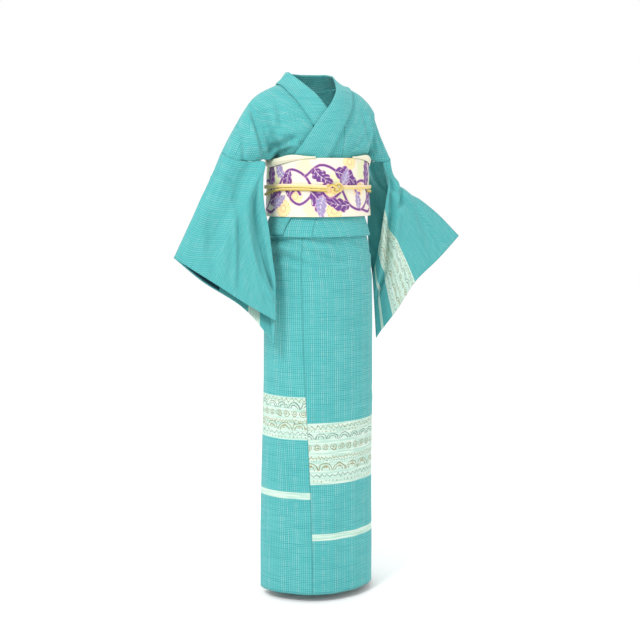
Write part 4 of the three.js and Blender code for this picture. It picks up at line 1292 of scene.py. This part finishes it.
def kimono():
    front_weave = weave("teal_weave_front", FRONT_BANDS, 0.0)
    okumi_weave = weave("teal_weave_okumi", OKUMI_BANDS, 0.37)
    plain_weave = weave("teal_weave_plain", (), 0.11, 0.3)
    # Dark navy for the cuffs' lining and for the painted shade inside their openings.
    lining_and_shade = plain("navy_lining", "#0f4350", 0.7, 0.1, 60.0)
    for side, label in ((-1, "right"), (1, "left")):
        panel_piece(f"{label}_front", front_grid(side), front_weave)
        panel_piece(f"{label}_back", back_grid(side), front_weave)
        panel_piece(f"{label}_okumi", okumi_grid(side), okumi_weave)
        sleeve_weave = weave(f"teal_weave_{label}_sleeve", SLEEVE_BANDS[side], 0.2 * side, 0.25)
        sleeve_shell(side, label, sleeve_weave)
        lining_and_shade_shell(side, label, lining_and_shade)
    grid = collar_grid()
    uv = np.stack([lengths(grid, 1), lengths(grid, 0)], -1)
    collar = shell("collar", grid, uv, COLLAR_CLOTH, plain_weave)


def ties():
    obi_shell(painted("obi_brocade", 0.75, 0.1))
    scarf(plain("obiage_silk", "#f1ecd0", 0.6, 0.3, 30.0))
    strands = painted("obijime_braid", 0.55, 0.15)
    cord_band(strands)
    cord_end(-1, "right", strands)
    cord_end(1, "left", strands)
    cord_knot(strands)


# ---- floor, light and camera ----
# Places and sizes here are in metres.
FLOOR_Z = -1.305
FLOOR_REACH = 6.0
WORLD_STRENGTH = 1.0
AIM = np.array([0, 0, -0.6])
LIGHTS = [
    ("key", (-2.6, -1.5, 2.4), 84, 0.9),
    ("fill", (2.4, -2.6, 0.6), 8, 2.2),
    ("back", (0.8, 2.8, 1.4), 16, 2.0),
]
CAMERA_AT = (-1.2220, -2.5969, -0.24)
CAMERA_TURN = (82.67, 0.0, -25.3)
CAMERA_LENS = 64.24
SENSOR_WIDTH = 36


def studio():
    mesh = bpy.data.meshes.new("floor")
    corners = [(-1, -1), (1, -1), (1, 1), (-1, 1)]
    mesh.from_pydata([(x * FLOOR_REACH, y * FLOOR_REACH, FLOOR_Z) for x, y in corners], [],
                     [(0, 1, 2, 3)])
    floor = bpy.data.objects.new("floor", mesh)
    bpy.context.collection.objects.link(floor)
    mesh.materials.append(Shader("floor", 0.9).paint(colour("#ffffff")))
    world = bpy.data.worlds.new("studio")
    world.use_nodes = True
    world.node_tree.nodes["Background"].inputs["Color"].default_value = (1, 1, 1, 1)
    world.node_tree.nodes["Background"].inputs["Strength"].default_value = WORLD_STRENGTH
    bpy.context.scene.world = world
    bpy.context.scene.view_settings.view_transform = "Standard"
    for name, place, power, size in LIGHTS:
        area_light(name, place, power, size)


def area_light(name, place, power, size):
    lamp = bpy.data.lights.new(name, "AREA")
    lamp.energy = power
    lamp.size = size
    light = bpy.data.objects.new(name, lamp)
    light.location = place
    aim = AIM - np.array(place)
    light.rotation_euler = (math.atan2(math.hypot(aim[0], aim[1]), -aim[2]), 0,
                            math.atan2(aim[1], aim[0]) - math.pi / 2)
    bpy.context.collection.objects.link(light)


def camera():
    lens = bpy.data.cameras.new("camera")
    lens.lens = CAMERA_LENS
    lens.sensor_width = SENSOR_WIDTH
    eye = bpy.data.objects.new("camera", lens)
    eye.location = CAMERA_AT
    eye.rotation_euler = [math.radians(angle) for angle in CAMERA_TURN]
    bpy.context.collection.objects.link(eye)
    bpy.context.scene.camera = eye


kimono()
ties()
studio()
camera()
